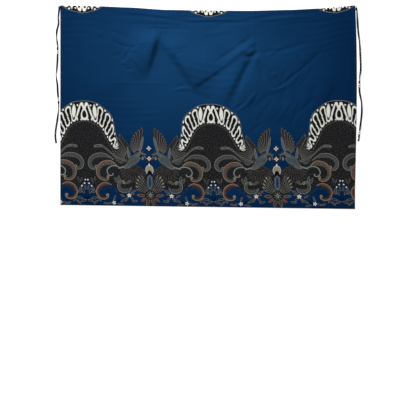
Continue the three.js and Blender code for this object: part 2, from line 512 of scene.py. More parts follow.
def new_group(name: str, **outputs: str) -> tuple[bpy.types.ShaderNodeTree, "Place"]:
    """Starts a shader node group that reads places on the flat cloth.

    Args:
        name: The group's name.
        outputs: The kind of socket of each output, by its name.

    Returns:
        The group, and the place that its Cloth input gives, in millimetres.
    """
    tree = bpy.data.node_groups.new(name, "ShaderNodeTree")
    tree.interface.new_socket("Cloth", in_out="INPUT", socket_type="NodeSocketVector")
    for output, kind in outputs.items():
        tree.interface.new_socket(output, in_out="OUTPUT", socket_type=kind)
    source = tree.nodes.new("NodeGroupInput")
    return tree, Place(tree, source.outputs["Cloth"])


class Term:
    """A number that varies over the cloth. Arithmetic on it adds math nodes to its tree."""

    def __init__(self, tree: bpy.types.NodeTree, socket: bpy.types.NodeSocket) -> None:
        """Holds the node socket that gives the number."""
        self.tree = tree
        self.socket = socket

    def math(self, operation: str, *others: Number) -> "Term":
        """Adds one math node with this number as its first input.

        Args:
            operation: The math node's operation.
            others: Its second and third inputs.

        Returns:
            The result.
        """
        node = self.tree.nodes.new("ShaderNodeMath")
        node.operation = operation
        for socket, value in zip(node.inputs, (self, *others)):
            feed(self.tree, socket, value)
        return Term(self.tree, node.outputs[0])

    def __add__(self, other: Number) -> "Term":
        """This number plus another."""
        return self.math("ADD", other)

    def __sub__(self, other: Number) -> "Term":
        """This number less another."""
        return self.math("SUBTRACT", other)

    def __mul__(self, other: Number) -> "Term":
        """This number times another."""
        return self.math("MULTIPLY", other)

    def __truediv__(self, other: Number) -> "Term":
        """This number over another."""
        return self.math("DIVIDE", other)

    def __abs__(self) -> "Term":
        """This number without its sign."""
        return self.math("ABSOLUTE")

    def scaled(self, factor: Number, plus: Number = 0.0) -> "Term":
        """This number times a factor, plus an amount."""
        return self.math("MULTIPLY_ADD", factor, plus)

    def least(self, other: Number) -> "Term":
        """The lesser of this number and another."""
        return self.math("MINIMUM", other)

    def most(self, other: Number) -> "Term":
        """The greater of this number and another."""
        return self.math("MAXIMUM", other)

    def above(self, other: Number) -> "Term":
        """1 where this number is above another, and 0 elsewhere."""
        return self.math("GREATER_THAN", other)

    def within(self, other: "Term", first: float, last: float, slope: float) -> "Term":
        """Cuts this distance off where another number leaves a range.

        Args:
            other: The number that is kept in the range.
            first: The range's start.
            last: The range's end.
            slope: Millimetres for one unit of the other number.

        Returns:
            The greater of this number and the distance past the range.
        """
        return self.most(other * slope - slope * last).most(other * -slope - slope * -first)

    def across_from(self, other: "Term") -> "Term":
        """Length of the slanted side over this number and another, as legs of a right angle."""
        return Place.of(self, other).length()

    def chosen(self, switch: "Term", other: "Term") -> "Term":
        """This number where the switch is 1, and the other where it is 0."""
        return (self - other).math("MULTIPLY_ADD", switch, other)


class Place:
    """A place on the print, in millimetres, with the moves that a motif's own coordinates need.

    Its third coordinate is 1, so that one dot product can turn, scale and shift it. Mapping nodes
    would do the same, but the renderer puts a converter after each one and works those out last,
    so that all masks of the print would wait on its stack at once, and there are too many for it.
    """

    def __init__(self, tree: bpy.types.NodeTree, socket: bpy.types.NodeSocket) -> None:
        """Holds a place.

        Args:
            tree: The tree that it is worked out in.
            socket: The vector socket that gives it.
        """
        self.tree = tree
        self.socket = socket
        self._parts: Optional[tuple[Term, Term]] = None

    @classmethod
    def of(cls, x: Term, y: Term) -> "Place":
        """Joins two coordinates.

        Args:
            x: The first coordinate.
            y: The second coordinate.

        Returns:
            The place with these two coordinates.
        """
        node = x.tree.nodes.new("ShaderNodeCombineXYZ")
        x.tree.links.new(x.socket, node.inputs["X"])
        x.tree.links.new(y.socket, node.inputs["Y"])
        node.inputs["Z"].default_value = 1.0
        place = cls(x.tree, node.outputs["Vector"])
        place._parts = (x, y)
        return place

    def parts(self) -> tuple[Term, Term]:
        """Works out the two coordinates, once for each place.

        Returns:
            The place's share along the first axis, and along the second.
        """
        if self._parts is None:
            self._parts = (self.measure("DOT_PRODUCT", 1, 0, 0), self.measure("DOT_PRODUCT", 0, 1, 0))
        return self._parts

    def seen_from(self, centre: Pair, turn: float = 0.0, size: Pair = (1.0, 1.0)) -> "Place":
        """The place in a motif's own coordinates.

        Args:
            centre: The motif's origin, in millimetres.
            turn: How far the motif is turned against the clock, in degrees.
            size: The motif's own units, in millimetres.

        Returns:
            The place as the motif sees it.
        """
        cos, sin = math.cos(math.radians(turn)), math.sin(math.radians(turn))
        rows = ((cos / size[0], sin / size[0]), (-sin / size[1], cos / size[1]))
        shifts = [-(centre[0] * along + centre[1] * over) for along, over in rows]
        if turn:
            return Place.of(*(self.measure("DOT_PRODUCT", *row, shift) for row, shift in zip(rows, shifts)))
        return self.stretched((rows[0][0], rows[1][1], 0.0), (*shifts, 1.0))

    def stretched(self, factors: Sequence[float], shifts: Sequence[float]) -> "Place":
        """The place with each coordinate times a factor, plus a shift.

        Args:
            factors: The factors of the three coordinates.
            shifts: What is added to them.

        Returns:
            The new place.
        """
        node = self.tree.nodes.new("ShaderNodeVectorMath")
        node.operation = "MULTIPLY_ADD"
        self.tree.links.new(self.socket, node.inputs[0])
        node.inputs[1].default_value = factors
        node.inputs[2].default_value = shifts
        return Place(self.tree, node.outputs["Vector"])

    def measure(self, operation: str, x: float, y: float, third: float = 1.0) -> Term:
        """One number from the place and three fixed coordinates.

        Args:
            operation: The vector math node's operation.
            x: First fixed coordinate.
            y: Second fixed coordinate.
            third: What the place's third coordinate of 1 meets.

        Returns:
            The number.
        """
        node = self.tree.nodes.new("ShaderNodeVectorMath")
        node.operation = operation
        self.tree.links.new(self.socket, node.inputs[0])
        node.inputs[1].default_value = (x, y, third)
        return Term(self.tree, node.outputs["Value"])

    def length(self) -> Term:
        """How far the place is from the origin."""
        return self.distance(0.0, 0.0)

    def distance(self, x: float, y: float) -> Term:
        """How far the place is from a point."""
        return self.measure("DISTANCE", x, y)

    def angle(self) -> Term:
        """Its direction from the origin, in radians against the clock from the first axis."""
        x, y = self.parts()
        return y.math("ARCTAN2", x)

    def bearing(self) -> Term:
        """Its direction from the origin, in degrees with the clock from the second axis."""
        x, y = self.parts()
        return x.math("ARCTAN2", y) * math.degrees(1.0)

    def noise(self, scale: float, detail: float) -> bpy.types.ShaderNode:
        """Reads a flat noise here.

        Args:
            scale: How often it changes for each unit of the place.
            detail: How many finer layers it has.

        Returns:
            The noise node, whose outputs lie about 0.5.
        """
        node = self.tree.nodes.new("ShaderNodeTexNoise")
        node.noise_dimensions = "2D"
        node.inputs["Scale"].default_value = scale
        node.inputs["Detail"].default_value = detail
        self.tree.links.new(self.socket, node.inputs["Vector"])
        return node


@dataclass(frozen=True)
class Course:
    """A given curve of one size along another, both in the units of the print."""

    first: float
    last: float
    top: float
    points: tuple[Pair, ...]

    def read(self, along: Term) -> Term:
        """Reads the curve with a float curve node.

        Args:
            along: Where to read it.

        Returns:
            The curve's value there.
        """
        tree = along.tree
        node = tree.nodes.new("ShaderNodeFloatCurve")
        curve = node.mapping.curves[0]
        span = self.last - self.first
        shares = [((x - self.first) / span, y / self.top) for x, y in self.points]
        for index, (x, y) in enumerate(shares):
            if index < 2:
                point = curve.points[index]
                point.location = (x, y)
            else:
                point = curve.points.new(x, y)
            point.handle_type = "AUTO"
        node.mapping.update()
        tree.links.new(along.scaled(1 / span, -self.first / span).socket, node.inputs["Value"])
        return Term(tree, node.outputs["Value"]) * self.top


class Axis(Enum):
    """The two lines about which the border is mirrored, from which a motif is measured."""

    ARCH = "arch"
    PALMETTE = "palmette"


# ---------------------------------------------------------------- motifs


@dataclass(frozen=True)
class Leaf:
    """A pointed leaf: middle, length, width, and the direction of its point, against the clock."""

    axis: Axis
    centre: Pair
    length: float
    width: float
    turn: float
    dye: Dye
    rim: Optional[Dye] = None

    def draw(self, painter: "Painter", place: Place) -> None:
        """Draws the leaf where two equal discs overlap.

        Args:
            painter: What paints it.
            place: The place, from the leaf's own axis.
        """
        half_length, half_width = self.length / 2, self.width / 2
        radius = (half_length**2 + half_width**2) / (2 * half_width)
        out = Vector((0.0, radius - half_width)) @ Matrix.Rotation(-math.radians(self.turn), 2)
        left, right = (place.distance(*(Vector(self.centre) + side * out)) for side in (1, -1))
        painter.rimmed(self.dye, left.most(right) - radius, self.rim)


@dataclass(frozen=True)
class Bean:
    """A rounded oval, such as a body, bud or drop."""

    axis: Axis
    centre: Pair
    half: Pair
    turn: float
    dye: Dye
    rim: Optional[Dye] = None

    def draw(self, painter: "Painter", place: Place) -> None:
        """Draws the oval as a squashed disc.

        Args:
            painter: What paints it.
            place: The place, from the oval's own axis.
        """
        own = place.seen_from(self.centre, self.turn, self.half)
        painter.rimmed(self.dye, (own.length() - 1.0) * min(self.half), self.rim)


@dataclass(frozen=True)
class Blossom:
    """A small flower of rounded petals with a spot in the middle, and a faint shade about it."""

    axis: Axis
    centre: Pair
    radius: float
    petals: int
    turn: float
    dye: Dye
    heart: Dye
    heart_radius: float = 2.6
    notch: float = 0.26
    shade: float = 1.6
    shade_share: float = 0.6

    def draw(self, painter: "Painter", place: Place) -> None:
        """Draws the flower as a disc with a waving edge.

        Args:
            painter: What paints it.
            place: The place, from the flower's own axis.
        """
        own = place.seen_from(self.centre, self.turn)
        petal = (own.angle() * float(self.petals)).math("COSINE")
        body = own.length() - petal.scaled(self.radius * self.notch, self.radius * (1.0 - self.notch))
        painter.fill(Dye.BLACK, body - self.shade, self.shade_share)
        painter.fill(self.dye, body)
        painter.fill(self.heart, own.length() - self.heart_radius)


@dataclass(frozen=True)
class Scroll:
    """A curling scroll of less than one turn: its open end's direction and radius, and its eye's.

    The curve falls from radius to core at the rate of decay, with the half width at its widest
    and at its end, over a length in radians. Its tip opens to the widest at the rate of opening,
    and a ball ends it. Black barbs cross its inner half, and its rim follows the outer edge.
    """

    centre: Pair
    start: float
    hand: int
    radius: float
    core: float
    decay: float
    widths: Pair
    length: float
    dye: Dye
    inner: Dye
    rim: Dye
    barbs: float = 24.0
    barb_lean: float = 0.02
    barb_share: float = 0.8
    barb_cut: Pair = (-3.0, 1.0)
    barb_from: float = 0.1
    opening: Pair = (1.6, 1.5)
    rim_inset: float = 1.3
    rim_half: float = 1.2
    rim_share: float = 0.95
    shadow: float = 2.4
    ball_reach: float = 0.82
    ball_turn: float = 0.12
    ball_sizes: Pair = (1.15, 0.6)

    def draw(self, painter: "Painter", place: Place) -> None:
        """Draws the scroll with its barbs, its rim and the ball at its end.

        Args:
            painter: What paints it.
            place: The place in the half repeat.
        """
        own = place.seen_from(self.centre, self.start, (1.0, self.hand))
        along = own.angle().math("WRAP", math.tau, 0.0)
        curve = (along * -self.decay).math("EXPONENT").scaled(self.radius - self.core, self.core)
        off = own.length() - curve
        widest, last = self.widths
        opening, tip = self.opening
        half = along.scaled(widest * opening, tip)
        half = half.least(along.scaled((last - widest) / self.length, widest))
        body = (abs(off) - half).most((along - self.length) * self.core)
        painter.fill(Dye.BLACK, body - self.shadow)
        painter.fill(self.dye, body)
        painter.fill(self.inner, body.most(off))
        barbs = (along + abs(off) * self.barb_lean).scaled(self.barbs).math("SINE")
        barb_body = body.most(barbs.scaled(*self.barb_cut)).most(off + widest * self.barb_from)
        painter.fill(Dye.BLACK, barb_body, self.barb_share)
        rim = (abs(body + self.rim_inset) - self.rim_half).most(off * -1.0)
        painter.fill(self.rim, rim, self.rim_share)
        turned = math.radians(self.start) + self.hand * (self.length + self.ball_turn)
        reach = self.core * self.ball_reach
        ball = (self.centre[0] + reach * math.cos(turned), self.centre[1] + reach * math.sin(turned))
        for dye, size in zip((self.rim, self.dye), self.ball_sizes):
            painter.fill(dye, place.distance(*ball) - last * size)


@dataclass(frozen=True)
class Plumage:
    """A fan of feathers about a shoulder, from one bearing to another, in degrees with the clock.

    The reach is the least one and what is added to it: at the first feather where power is above
    0, and otherwise in the middle of the fan. The slit is how fast the feathers part.
    """

    shoulder: Pair
    first: float
    last: float
    feathers: int
    reach: Pair
    power: float
    slit: float
    dye: Dye
    quill: Dye
    contrast: float = 0.55
    slit_from: float = 0.7
    shadow: float = 2.2
    edge_from: float = 16.0
    edge_inset: float = 0.6
    edge_line: float = 1.2
    edge_share: float = 0.45
    quill_from: float = 26.0
    quill_half: float = 0.4

    def draw(self, painter: "Painter", place: Place) -> None:
        """Draws the fan with light edges and quills.

        Args:
            painter: What paints it.
            place: The place in the half repeat.
        """
        own = place.seen_from(self.shoulder)
        sweep = self.last - self.first
        bearing = own.bearing()
        if self.first > 180:
            bearing = bearing.math("WRAP", 360.0, 0.0)
        share = bearing.scaled(1 / sweep, -self.first / sweep)
        inside = share.most(0.0).least(1.0)
        base, rise = self.reach
        if self.power:
            reach = inside.scaled(-1.0, 1.0).math("POWER", self.power).scaled(rise, base)
        else:
            reach = (inside * inside.scaled(-1.0, 1.0)).scaled(4.0 * rise, base)
        feather = (inside * self.feathers).math("FRACT") - 0.5
        radius = own.length()
        vane = (abs(feather) * -1.0 + 0.5) * radius * (math.radians(abs(sweep)) / self.feathers)
        slit = (radius - reach * self.slit_from) * self.slit - vane
        sides = (abs(share - 0.5) - 0.5) * radius * math.radians(abs(sweep))
        body = (radius - reach).most(sides).most(slit)
        painter.fill(Dye.BLACK, body - self.shadow)
        painter.fill(self.dye, body)
        edges = body.most(radius * -1.0 + self.edge_from) + self.edge_inset
        painter.line(self.quill, edges, self.edge_line, self.edge_share)
        quills = (vane - self.quill_half).most(body + 1.0).most(radius * -1.0 + self.quill_from)
        painter.fill(self.quill, quills, self.contrast)


@dataclass(frozen=True)
class Plume:
    """The long feather that trails from the bird's back under the arch, with a tuft at its end."""

    spine: Course = Course(40, 210, 400, (
        (40, 294), (61, 301), (91, 296), (112, 281), (133, 262), (154, 246), (184, 232), (210, 226),
    ))
    first: float = 46.0
    last: float = 204.0
    lean: float = 0.8
    half: float = 6.0
    vein_off: float = 2.8
    vein: float = 1.8
    vein_share: float = 0.85
    vein_shift: float = 1.0
    tuft: tuple[Pair, float, Pair] = ((64, 300), 4, (20, 7))
    tuft_line: Pair = (1.5, 0.5)

    def draw(self, painter: "Painter", place: Place) -> None:
        """Draws the feather and its tuft.

        Args:
            painter: What paints it.
            place: The place in the half repeat.
        """
        across, up = place.parts()
        off = (up - self.spine.read(across)) * self.lean
        ends = (across - self.last).most(across * -1.0 + self.first)
        painter.fill(Dye.UMBER, (abs(off) - self.half).most(ends))
        veins = (abs(off - self.vein_shift) - self.vein_off).most(ends)
        painter.line(Dye.LINE, veins, self.vein, self.vein_share)
        tuft = (place.seen_from(*self.tuft).length() - 1.0) * min(self.tuft[2])
        painter.line(Dye.LINE, tuft, *self.tuft_line)


@dataclass(frozen=True)
class ArchBand:
    """The arch: a black band, a cream serpentine with dots, and a drop at its crown.

    Both edges of the band are read by the bearing from the hub, and each has a line along it: how
    far inwards, half its width, and how much dye covers. The serpentine's strokes stand at
    bearings that start at first_bearing and draw apart from each step to the next.
    """

    outer: Course = Course(-10, 70, 400, (
        (-10, 323), (3.5, 322), (11, 313.5), (17, 300), (23.6, 287), (28.5, 269),
        (32.5, 250), (36.6, 230), (42, 212), (51, 192), (60, 178), (70, 170),
    ))
    inner: Course = Course(-10, 70, 400, (
        (-10, 232), (0, 227), (10, 217), (17, 206), (24.5, 188), (32, 172), (43, 158), (53, 152), (70, 150),
    ))
    hub: Pair = (15, 200)
    last_bearing: float = 59.0
    lowest: float = 262.0
    line_end: float = 55.0
    edge_lines: tuple[tuple[float, float, float], ...] = ((-1.0, 1.1, 0.8), (4.0, 0.9, 0.5))
    first_bearing: float = 9.3
    bearing_step: float = 4.2
    step_growth: float = 0.16
    stroke: float = 2.95
    swell: float = 0.09
    pitch: float = 21.0
    squash: float = 0.86
    head_gap: float = 12.0
    foot_gap: float = 13.0
    dot: float = 4.3
    stroke_steps: tuple[float, float, float] = (-0.5625, 8.25, 16.0)
    dot_steps: tuple[float, float, float] = (-1.5, 8.25, 8.0)
    head_dots: float = 0.4
    foot_dots: float = 0.7
    drop: tuple[Pair, float, Pair] = ((0, 459), 0.0, (14, 25))
    drop_scale: float = 15.0
    drop_line: float = 7.0
    drop_gap: float = 6.5
    drop_narrowing: float = 0.3
    drop_heart_below: float = 5.0

    def draw(self, painter: "Painter", place: Place) -> None:
        """Draws the band and what is on it.

        Args:
            painter: What paints it.
            place: The place in the half repeat.
        """
        up = place.parts()[1]
        hub = place.seen_from(self.hub)
        bearing = hub.bearing()
        inner = self.inner.read(bearing)
        depth = hub.length() - inner
        breadth = self.outer.read(bearing) - inner
        beyond = (depth - breadth).most(depth * -1.0).most(bearing - self.last_bearing)
        painter.fill(Dye.BLACK, beyond.most(up * -1.0 + self.lowest))
        within = bearing - self.line_end
        for edge, (inwards, half, share) in zip((depth - breadth, depth), self.edge_lines):
            painter.fill(Dye.LINE, (abs(edge + inwards) - half).most(within), share)
        self.serpentine(painter, self.steps(bearing), depth, breadth)
        self.crown(painter, place)

    def steps(self, bearing: Term) -> Term:
        """Counts the serpentine's strokes: the root of the equation that gives their bearings.

        Args:
            bearing: The bearing from the hub, in degrees.

        Returns:
            How many strokes lie before this place.
        """
        four = 4 * self.step_growth
        root = bearing.scaled(four, self.bearing_step**2 - four * self.first_bearing).most(0.01).math("SQRT")
        return (root - self.bearing_step) / (2 * self.step_growth)

    def serpentine(self, painter: "Painter", step: Term, depth: Term, breadth: Term) -> None:
        """Draws the serpentine, as strokes joined by loops at the head and at the foot, and the dots.

        Args:
            painter: What paints it.
            step: How many strokes lie before this place.
            depth: Distance out from the band's inner edge.
            breadth: The band's own breadth there.
        """
        from_foot = step.math("PINGPONG", 1.0)
        from_head = from_foot.scaled(-1.0, 1.0)
        bend = self.pitch / 2
        foot_bend = (depth * -1.0 + (self.foot_gap + bend)).most(0.0)
        head_bend = (depth - breadth + (self.head_gap + bend)).most(0.0)
        turn = abs(depth / breadth - 0.5).scaled(bend, bend * self.squash)
        foot_loop = abs((from_foot * self.pitch).across_from(foot_bend) - turn)
        head_loop = abs((from_head * self.pitch).across_from(head_bend) - turn)
        at_head = (depth - breadth * 0.5).above(0.0)
        swell = foot_bend.most(head_bend).scaled(self.swell, self.stroke)
        stroke = head_loop.chosen(at_head, foot_loop) - swell
        painter.fill(Dye.CREAM, stroke.within(step, *self.stroke_steps))
        outer_dots = (from_foot * self.pitch).across_from(depth - breadth + self.head_gap * self.head_dots)
        inner_dots = (from_head * self.pitch).across_from(depth - self.foot_gap * self.foot_dots)
        dots = outer_dots.least(inner_dots) - self.dot
        painter.fill(Dye.CREAM, dots.within(step, *self.dot_steps))

    def crown(self, painter: "Painter", place: Place) -> None:
        """Draws the drop at the crown: a cream ring that narrows upwards, with a light heart.

        Args:
            painter: What paints it.
            place: The place in the half repeat.
        """
        side, rise = place.seen_from(*self.drop).parts()
        narrowed = side * rise.scaled(self.drop_narrowing, 1.0)
        ring = (narrowed.across_from(rise) - 1.0) * self.drop_scale
        painter.line(Dye.CREAM, ring, self.drop_line)
        painter.fill(Dye.MIST, ring.most(rise * self.drop_scale + self.drop_heart_below) + self.drop_gap)


@dataclass(frozen=True)
class Ground:
    """Painted shade at the field's ends and foot, the border's dark ground with its crackle, and its dots.

    Each painted shade holds how much navy covers at most, and over how many millimetres it comes in; it
    darkens the field where the light falls off. Noise of 0.5 on average is cut at two levels for the dark and
    the light dots of the wax work.
    """

    top: Course = Course(0, 330, 600, (
        (0, 522), (35, 519), (74, 508), (103, 491), (129, 462), (143, 434), (150, 408), (155, 374),
        (161, 334), (168, 296), (190, 266), (222, 244), (246, 214), (266, 190), (284, 168), (330, 160),
    ))
    foot: Course = Course(0, 330, 600, (
        (0, 124), (14, 116), (34, 94), (58, 92), (86, 112), (118, 118), (140, 100), (158, 76),
        (190, 68), (226, 84), (256, 90), (280, 66), (300, 22), (330, 0),
    ))
    # Painted shade: navy darkens the field beyond the middle span towards both ends, and below a level near
    # the foot.
    unshaded_middle: float = 690.0
    unshaded_half: float = 490.0
    side_painted_shade: Pair = (0.95, 560.0)
    foot_shade_top: float = 440.0
    foot_painted_shade: Pair = (0.8, 460.0)
    cells: float = 0.1
    crackle_share: float = 0.2
    crackle_inset: float = 4.0
    grain: float = 0.2
    light_dye: float = 0.2
    foot_margin: float = 30.0
    dark_dots: tuple[Dye, float, float, float] = (Dye.BLACK, 60.0, -26.0, 0.45)
    light_dots: tuple[Dye, float, float, float] = (Dye.LINE, -60.0, 35.5, 0.1)

    def lay(self, painter: "Painter", flat: Place, place: Place) -> None:
        """Lays the blue field with painted shade at its ends and foot, the dark ground of the border and its
        fine crackle.

        Args:
            painter: What paints them.
            flat: The place on the whole cloth.
            place: The place in the half repeat.
        """
        across, up = place.parts()
        along = flat.parts()[0]
        # Painted shade: navy over the field's two ends and its foot, where the light falls off.
        painter.fill(Dye.PAINTED_SHADE, abs(along - self.unshaded_middle) * -1.0 + self.unshaded_half, *self.side_painted_shade)
        painter.fill(Dye.PAINTED_SHADE, up - self.foot_shade_top, *self.foot_painted_shade)
        top = self.top.read(across)
        foot = self.foot.read(across)
        ground = (up - top).most(foot - up)
        painter.fill(Dye.CHARCOAL, ground)
        cells = place.tree.nodes.new("ShaderNodeTexVoronoi")
        cells.voronoi_dimensions = "2D"
        cells.feature = "DISTANCE_TO_EDGE"
        cells.inputs["Scale"].default_value = self.cells
        place.tree.links.new(flat.socket, cells.inputs["Vector"])
        veins = Term(place.tree, cells.outputs["Distance"]).scaled(1 / self.cells, -1.0)
        painter.fill(Dye.CRACKLE, veins.most(ground + self.crackle_inset), self.crackle_share)

    def speckle(self, painter: "Painter", flat: Place, place: Place) -> None:
        """Breaks up the border's dark dyes with the fine light and dark dots of the wax work.

        Args:
            painter: What paints it.
            flat: The place on the whole cloth.
            place: The place in the half repeat.
        """
        value = Term(flat.tree, flat.noise(self.grain, 1.0).outputs["Fac"])
        across, up = place.parts()
        grey = flat.tree.nodes.new("ShaderNodeRGBToBW")
        flat.tree.links.new(painter.colour, grey.inputs["Color"])
        light = Term(flat.tree, grey.outputs["Val"]).scaled(100.0, -100.0 * self.light_dye)
        kept_off = light.most(up - self.top.read(across))
        kept_off = kept_off.most(self.foot.read(across) - up - self.foot_margin)
        for dye, slope, level, share in (self.dark_dots, self.light_dots):
            painter.fill(dye, value.scaled(slope, level).most(kept_off), share)


Shape = Union[Leaf, Bean, Blossom]

# The crown's two loops, side strokes and leaf, and the prongs that end the band.
CROWN: tuple[Shape, ...] = (
    Bean(Axis.ARCH, (12, 509), (8.5, 8.5), 0, Dye.CREAM),
    Bean(Axis.ARCH, (5, 496), (5, 12), -14, Dye.CREAM),
    Bean(Axis.ARCH, (30, 474), (40, 4.6), -72, Dye.CREAM),
    Bean(Axis.ARCH, (41, 438), (7, 6), 0, Dye.CREAM),
    Bean(Axis.ARCH, (33, 503), (4.4, 4.4), 0, Dye.CREAM),
    Bean(Axis.ARCH, (17, 431), (4, 4), 0, Dye.CREAM),
    Leaf(Axis.ARCH, (53, 474), 74, 21, 94, Dye.CREAM, Dye.GREY),
    Leaf(Axis.ARCH, (157, 307), 28, 4.6, 66, Dye.CREAM),
    Leaf(Axis.ARCH, (161, 299), 26, 4.6, 38, Dye.CREAM),
    Leaf(Axis.ARCH, (159, 290), 24, 4.6, 8, Dye.CREAM),
)
# Leading feathers and bones of the wings, tail coverts, body, head and crest.
BIRD: tuple[Shape, ...] = (
    Leaf(Axis.ARCH, (199, 308), 125, 15, 112, Dye.SOOT, Dye.GREY),
    Leaf(Axis.ARCH, (206, 300), 105, 15, 108, Dye.SOOT, Dye.GREY),
    Leaf(Axis.ARCH, (212, 292), 86, 15, 102, Dye.SOOT, Dye.GREY),
    Leaf(Axis.ARCH, (218, 284), 69, 15, 95, Dye.SOOT, Dye.GREY),
    Leaf(Axis.ARCH, (223, 276), 54, 15, 85, Dye.SOOT, Dye.GREY),
    Leaf(Axis.ARCH, (221, 256), 88, 12, 98, Dye.SLATE, Dye.LINE),
    Leaf(Axis.ARCH, (287, 309), 88, 12, 77, Dye.SLATE, Dye.LINE),
    Leaf(Axis.ARCH, (187, 196), 50, 6, 197, Dye.GREY, Dye.MIST),
    Leaf(Axis.ARCH, (222, 208), 64, 26, 214, Dye.SLATE, Dye.LINE),
    Bean(Axis.ARCH, (246, 233), (42, 22), 40, Dye.SLATE, Dye.GREY),
    Bean(Axis.ARCH, (280, 257), (17, 15), 20, Dye.SLATE, Dye.LINE),
    Leaf(Axis.ARCH, (240, 230), 44, 11, 40, Dye.SLATE, Dye.UMBER),
    Leaf(Axis.ARCH, (254, 222), 36, 9, 52, Dye.SLATE, Dye.UMBER),
    Leaf(Axis.ARCH, (234, 244), 36, 9, 30, Dye.SLATE, Dye.UMBER),
    Leaf(Axis.ARCH, (226, 220), 40, 9, 36, Dye.SLATE, Dye.UMBER),
    Leaf(Axis.ARCH, (262, 240), 34, 9, 46, Dye.SLATE, Dye.UMBER),
    Leaf(Axis.ARCH, (300, 263), 24, 7, -4, Dye.SLATE, Dye.GREY),
    Leaf(Axis.ARCH, (303, 248), 24, 7, -76, Dye.SLATE, Dye.GREY),
    Leaf(Axis.ARCH, (294, 274), 18, 5, 40, Dye.ASH),
    Bean(Axis.ARCH, (288, 250), (11, 10), 0, Dye.BLACK),
    Bean(Axis.ARCH, (290, 243), (4, 8), 0, Dye.SLATE, Dye.MIST),
)
# Lobes of the curled leaf beside the tail.
CURLED_LEAF: tuple[Shape, ...] = (
    Leaf(Axis.ARCH, (153, 128), 36, 15, 124, Dye.ASH, Dye.LINE),
    Leaf(Axis.ARCH, (166, 136), 34, 13, 98, Dye.ASH, Dye.LINE),
    Leaf(Axis.ARCH, (214, 120), 30, 11, 30, Dye.ASH, Dye.LINE),
)
# Fan petals with pale tips, bud, drop and rosette.
PALMETTE: tuple[Shape, ...] = (
    Leaf(Axis.PALMETTE, (37, 76), 73, 10, 16, Dye.BLACK, Dye.LINE),
    Leaf(Axis.PALMETTE, (37, 84), 78, 10, 27, Dye.BLACK, Dye.LINE),
    Leaf(Axis.PALMETTE, (36, 91), 84, 10, 37, Dye.BLACK, Dye.LINE),
    Leaf(Axis.PALMETTE, (33, 99), 91, 10, 47, Dye.BLACK, Dye.LINE),
    Leaf(Axis.PALMETTE, (29, 107), 98, 10, 57, Dye.BLACK, Dye.LINE),
    Leaf(Axis.PALMETTE, (23, 112), 100, 10, 67, Dye.BLACK, Dye.LINE),
    Bean(Axis.PALMETTE, (70, 99), (6, 3.4), 27, Dye.HUSK),
    Bean(Axis.PALMETTE, (67, 115), (6, 3.4), 37, Dye.HUSK),
    Bean(Axis.PALMETTE, (62, 131), (6, 3.4), 47, Dye.HUSK),
    Bean(Axis.PALMETTE, (54, 146), (6, 3.4), 57, Dye.HUSK),
    Bean(Axis.PALMETTE, (0, 128), (16, 46), 0, Dye.GREY, Dye.BLACK),
    Bean(Axis.PALMETTE, (0, 183), (20, 25), 0, Dye.HUSK, Dye.CREAM),
    Leaf(Axis.PALMETTE, (0, 210), 16, 6, 90, Dye.CREAM),
    Leaf(Axis.PALMETTE, (0, 162), 42, 26, 90, Dye.BLACK),
    Bean(Axis.PALMETTE, (0, 122), (10, 35), 0, Dye.BLUE, Dye.LINE),
    Leaf(Axis.PALMETTE, (48, 54), 42, 14, 4, Dye.BROWN, Dye.HUSK),
    Leaf(Axis.PALMETTE, (32, 34), 46, 17, -36, Dye.RUST, Dye.BLACK),
    Leaf(Axis.PALMETTE, (13, 22), 46, 17, -74, Dye.BROWN, Dye.HUSK),
    Bean(Axis.PALMETTE, (0, 57), (28, 25), 0, Dye.BLACK),
    Blossom(Axis.PALMETTE, (0, 57), 23, 9, 10, Dye.GREY, Dye.UMBER, 13.0),
    Blossom(Axis.PALMETTE, (0, 57), 11, 5, 0, Dye.LINE, Dye.UMBER, 3.4),
)
# The two little flowers over the bud, with their dark leaves.
BUD_FLOWERS: tuple[Shape, ...] = (
    Bean(Axis.PALMETTE, (0, 267), (4.5, 10), 0, Dye.UMBER),
    Leaf(Axis.PALMETTE, (11, 229), 26, 9, -30, Dye.UMBER),
    Blossom(Axis.PALMETTE, (0, 293), 11.5, 4, 0, Dye.BLUSH, Dye.RUST, 3.4),
    Blossom(Axis.PALMETTE, (0, 241), 11.5, 4, 0, Dye.BLUSH, Dye.RUST, 3.4),
)
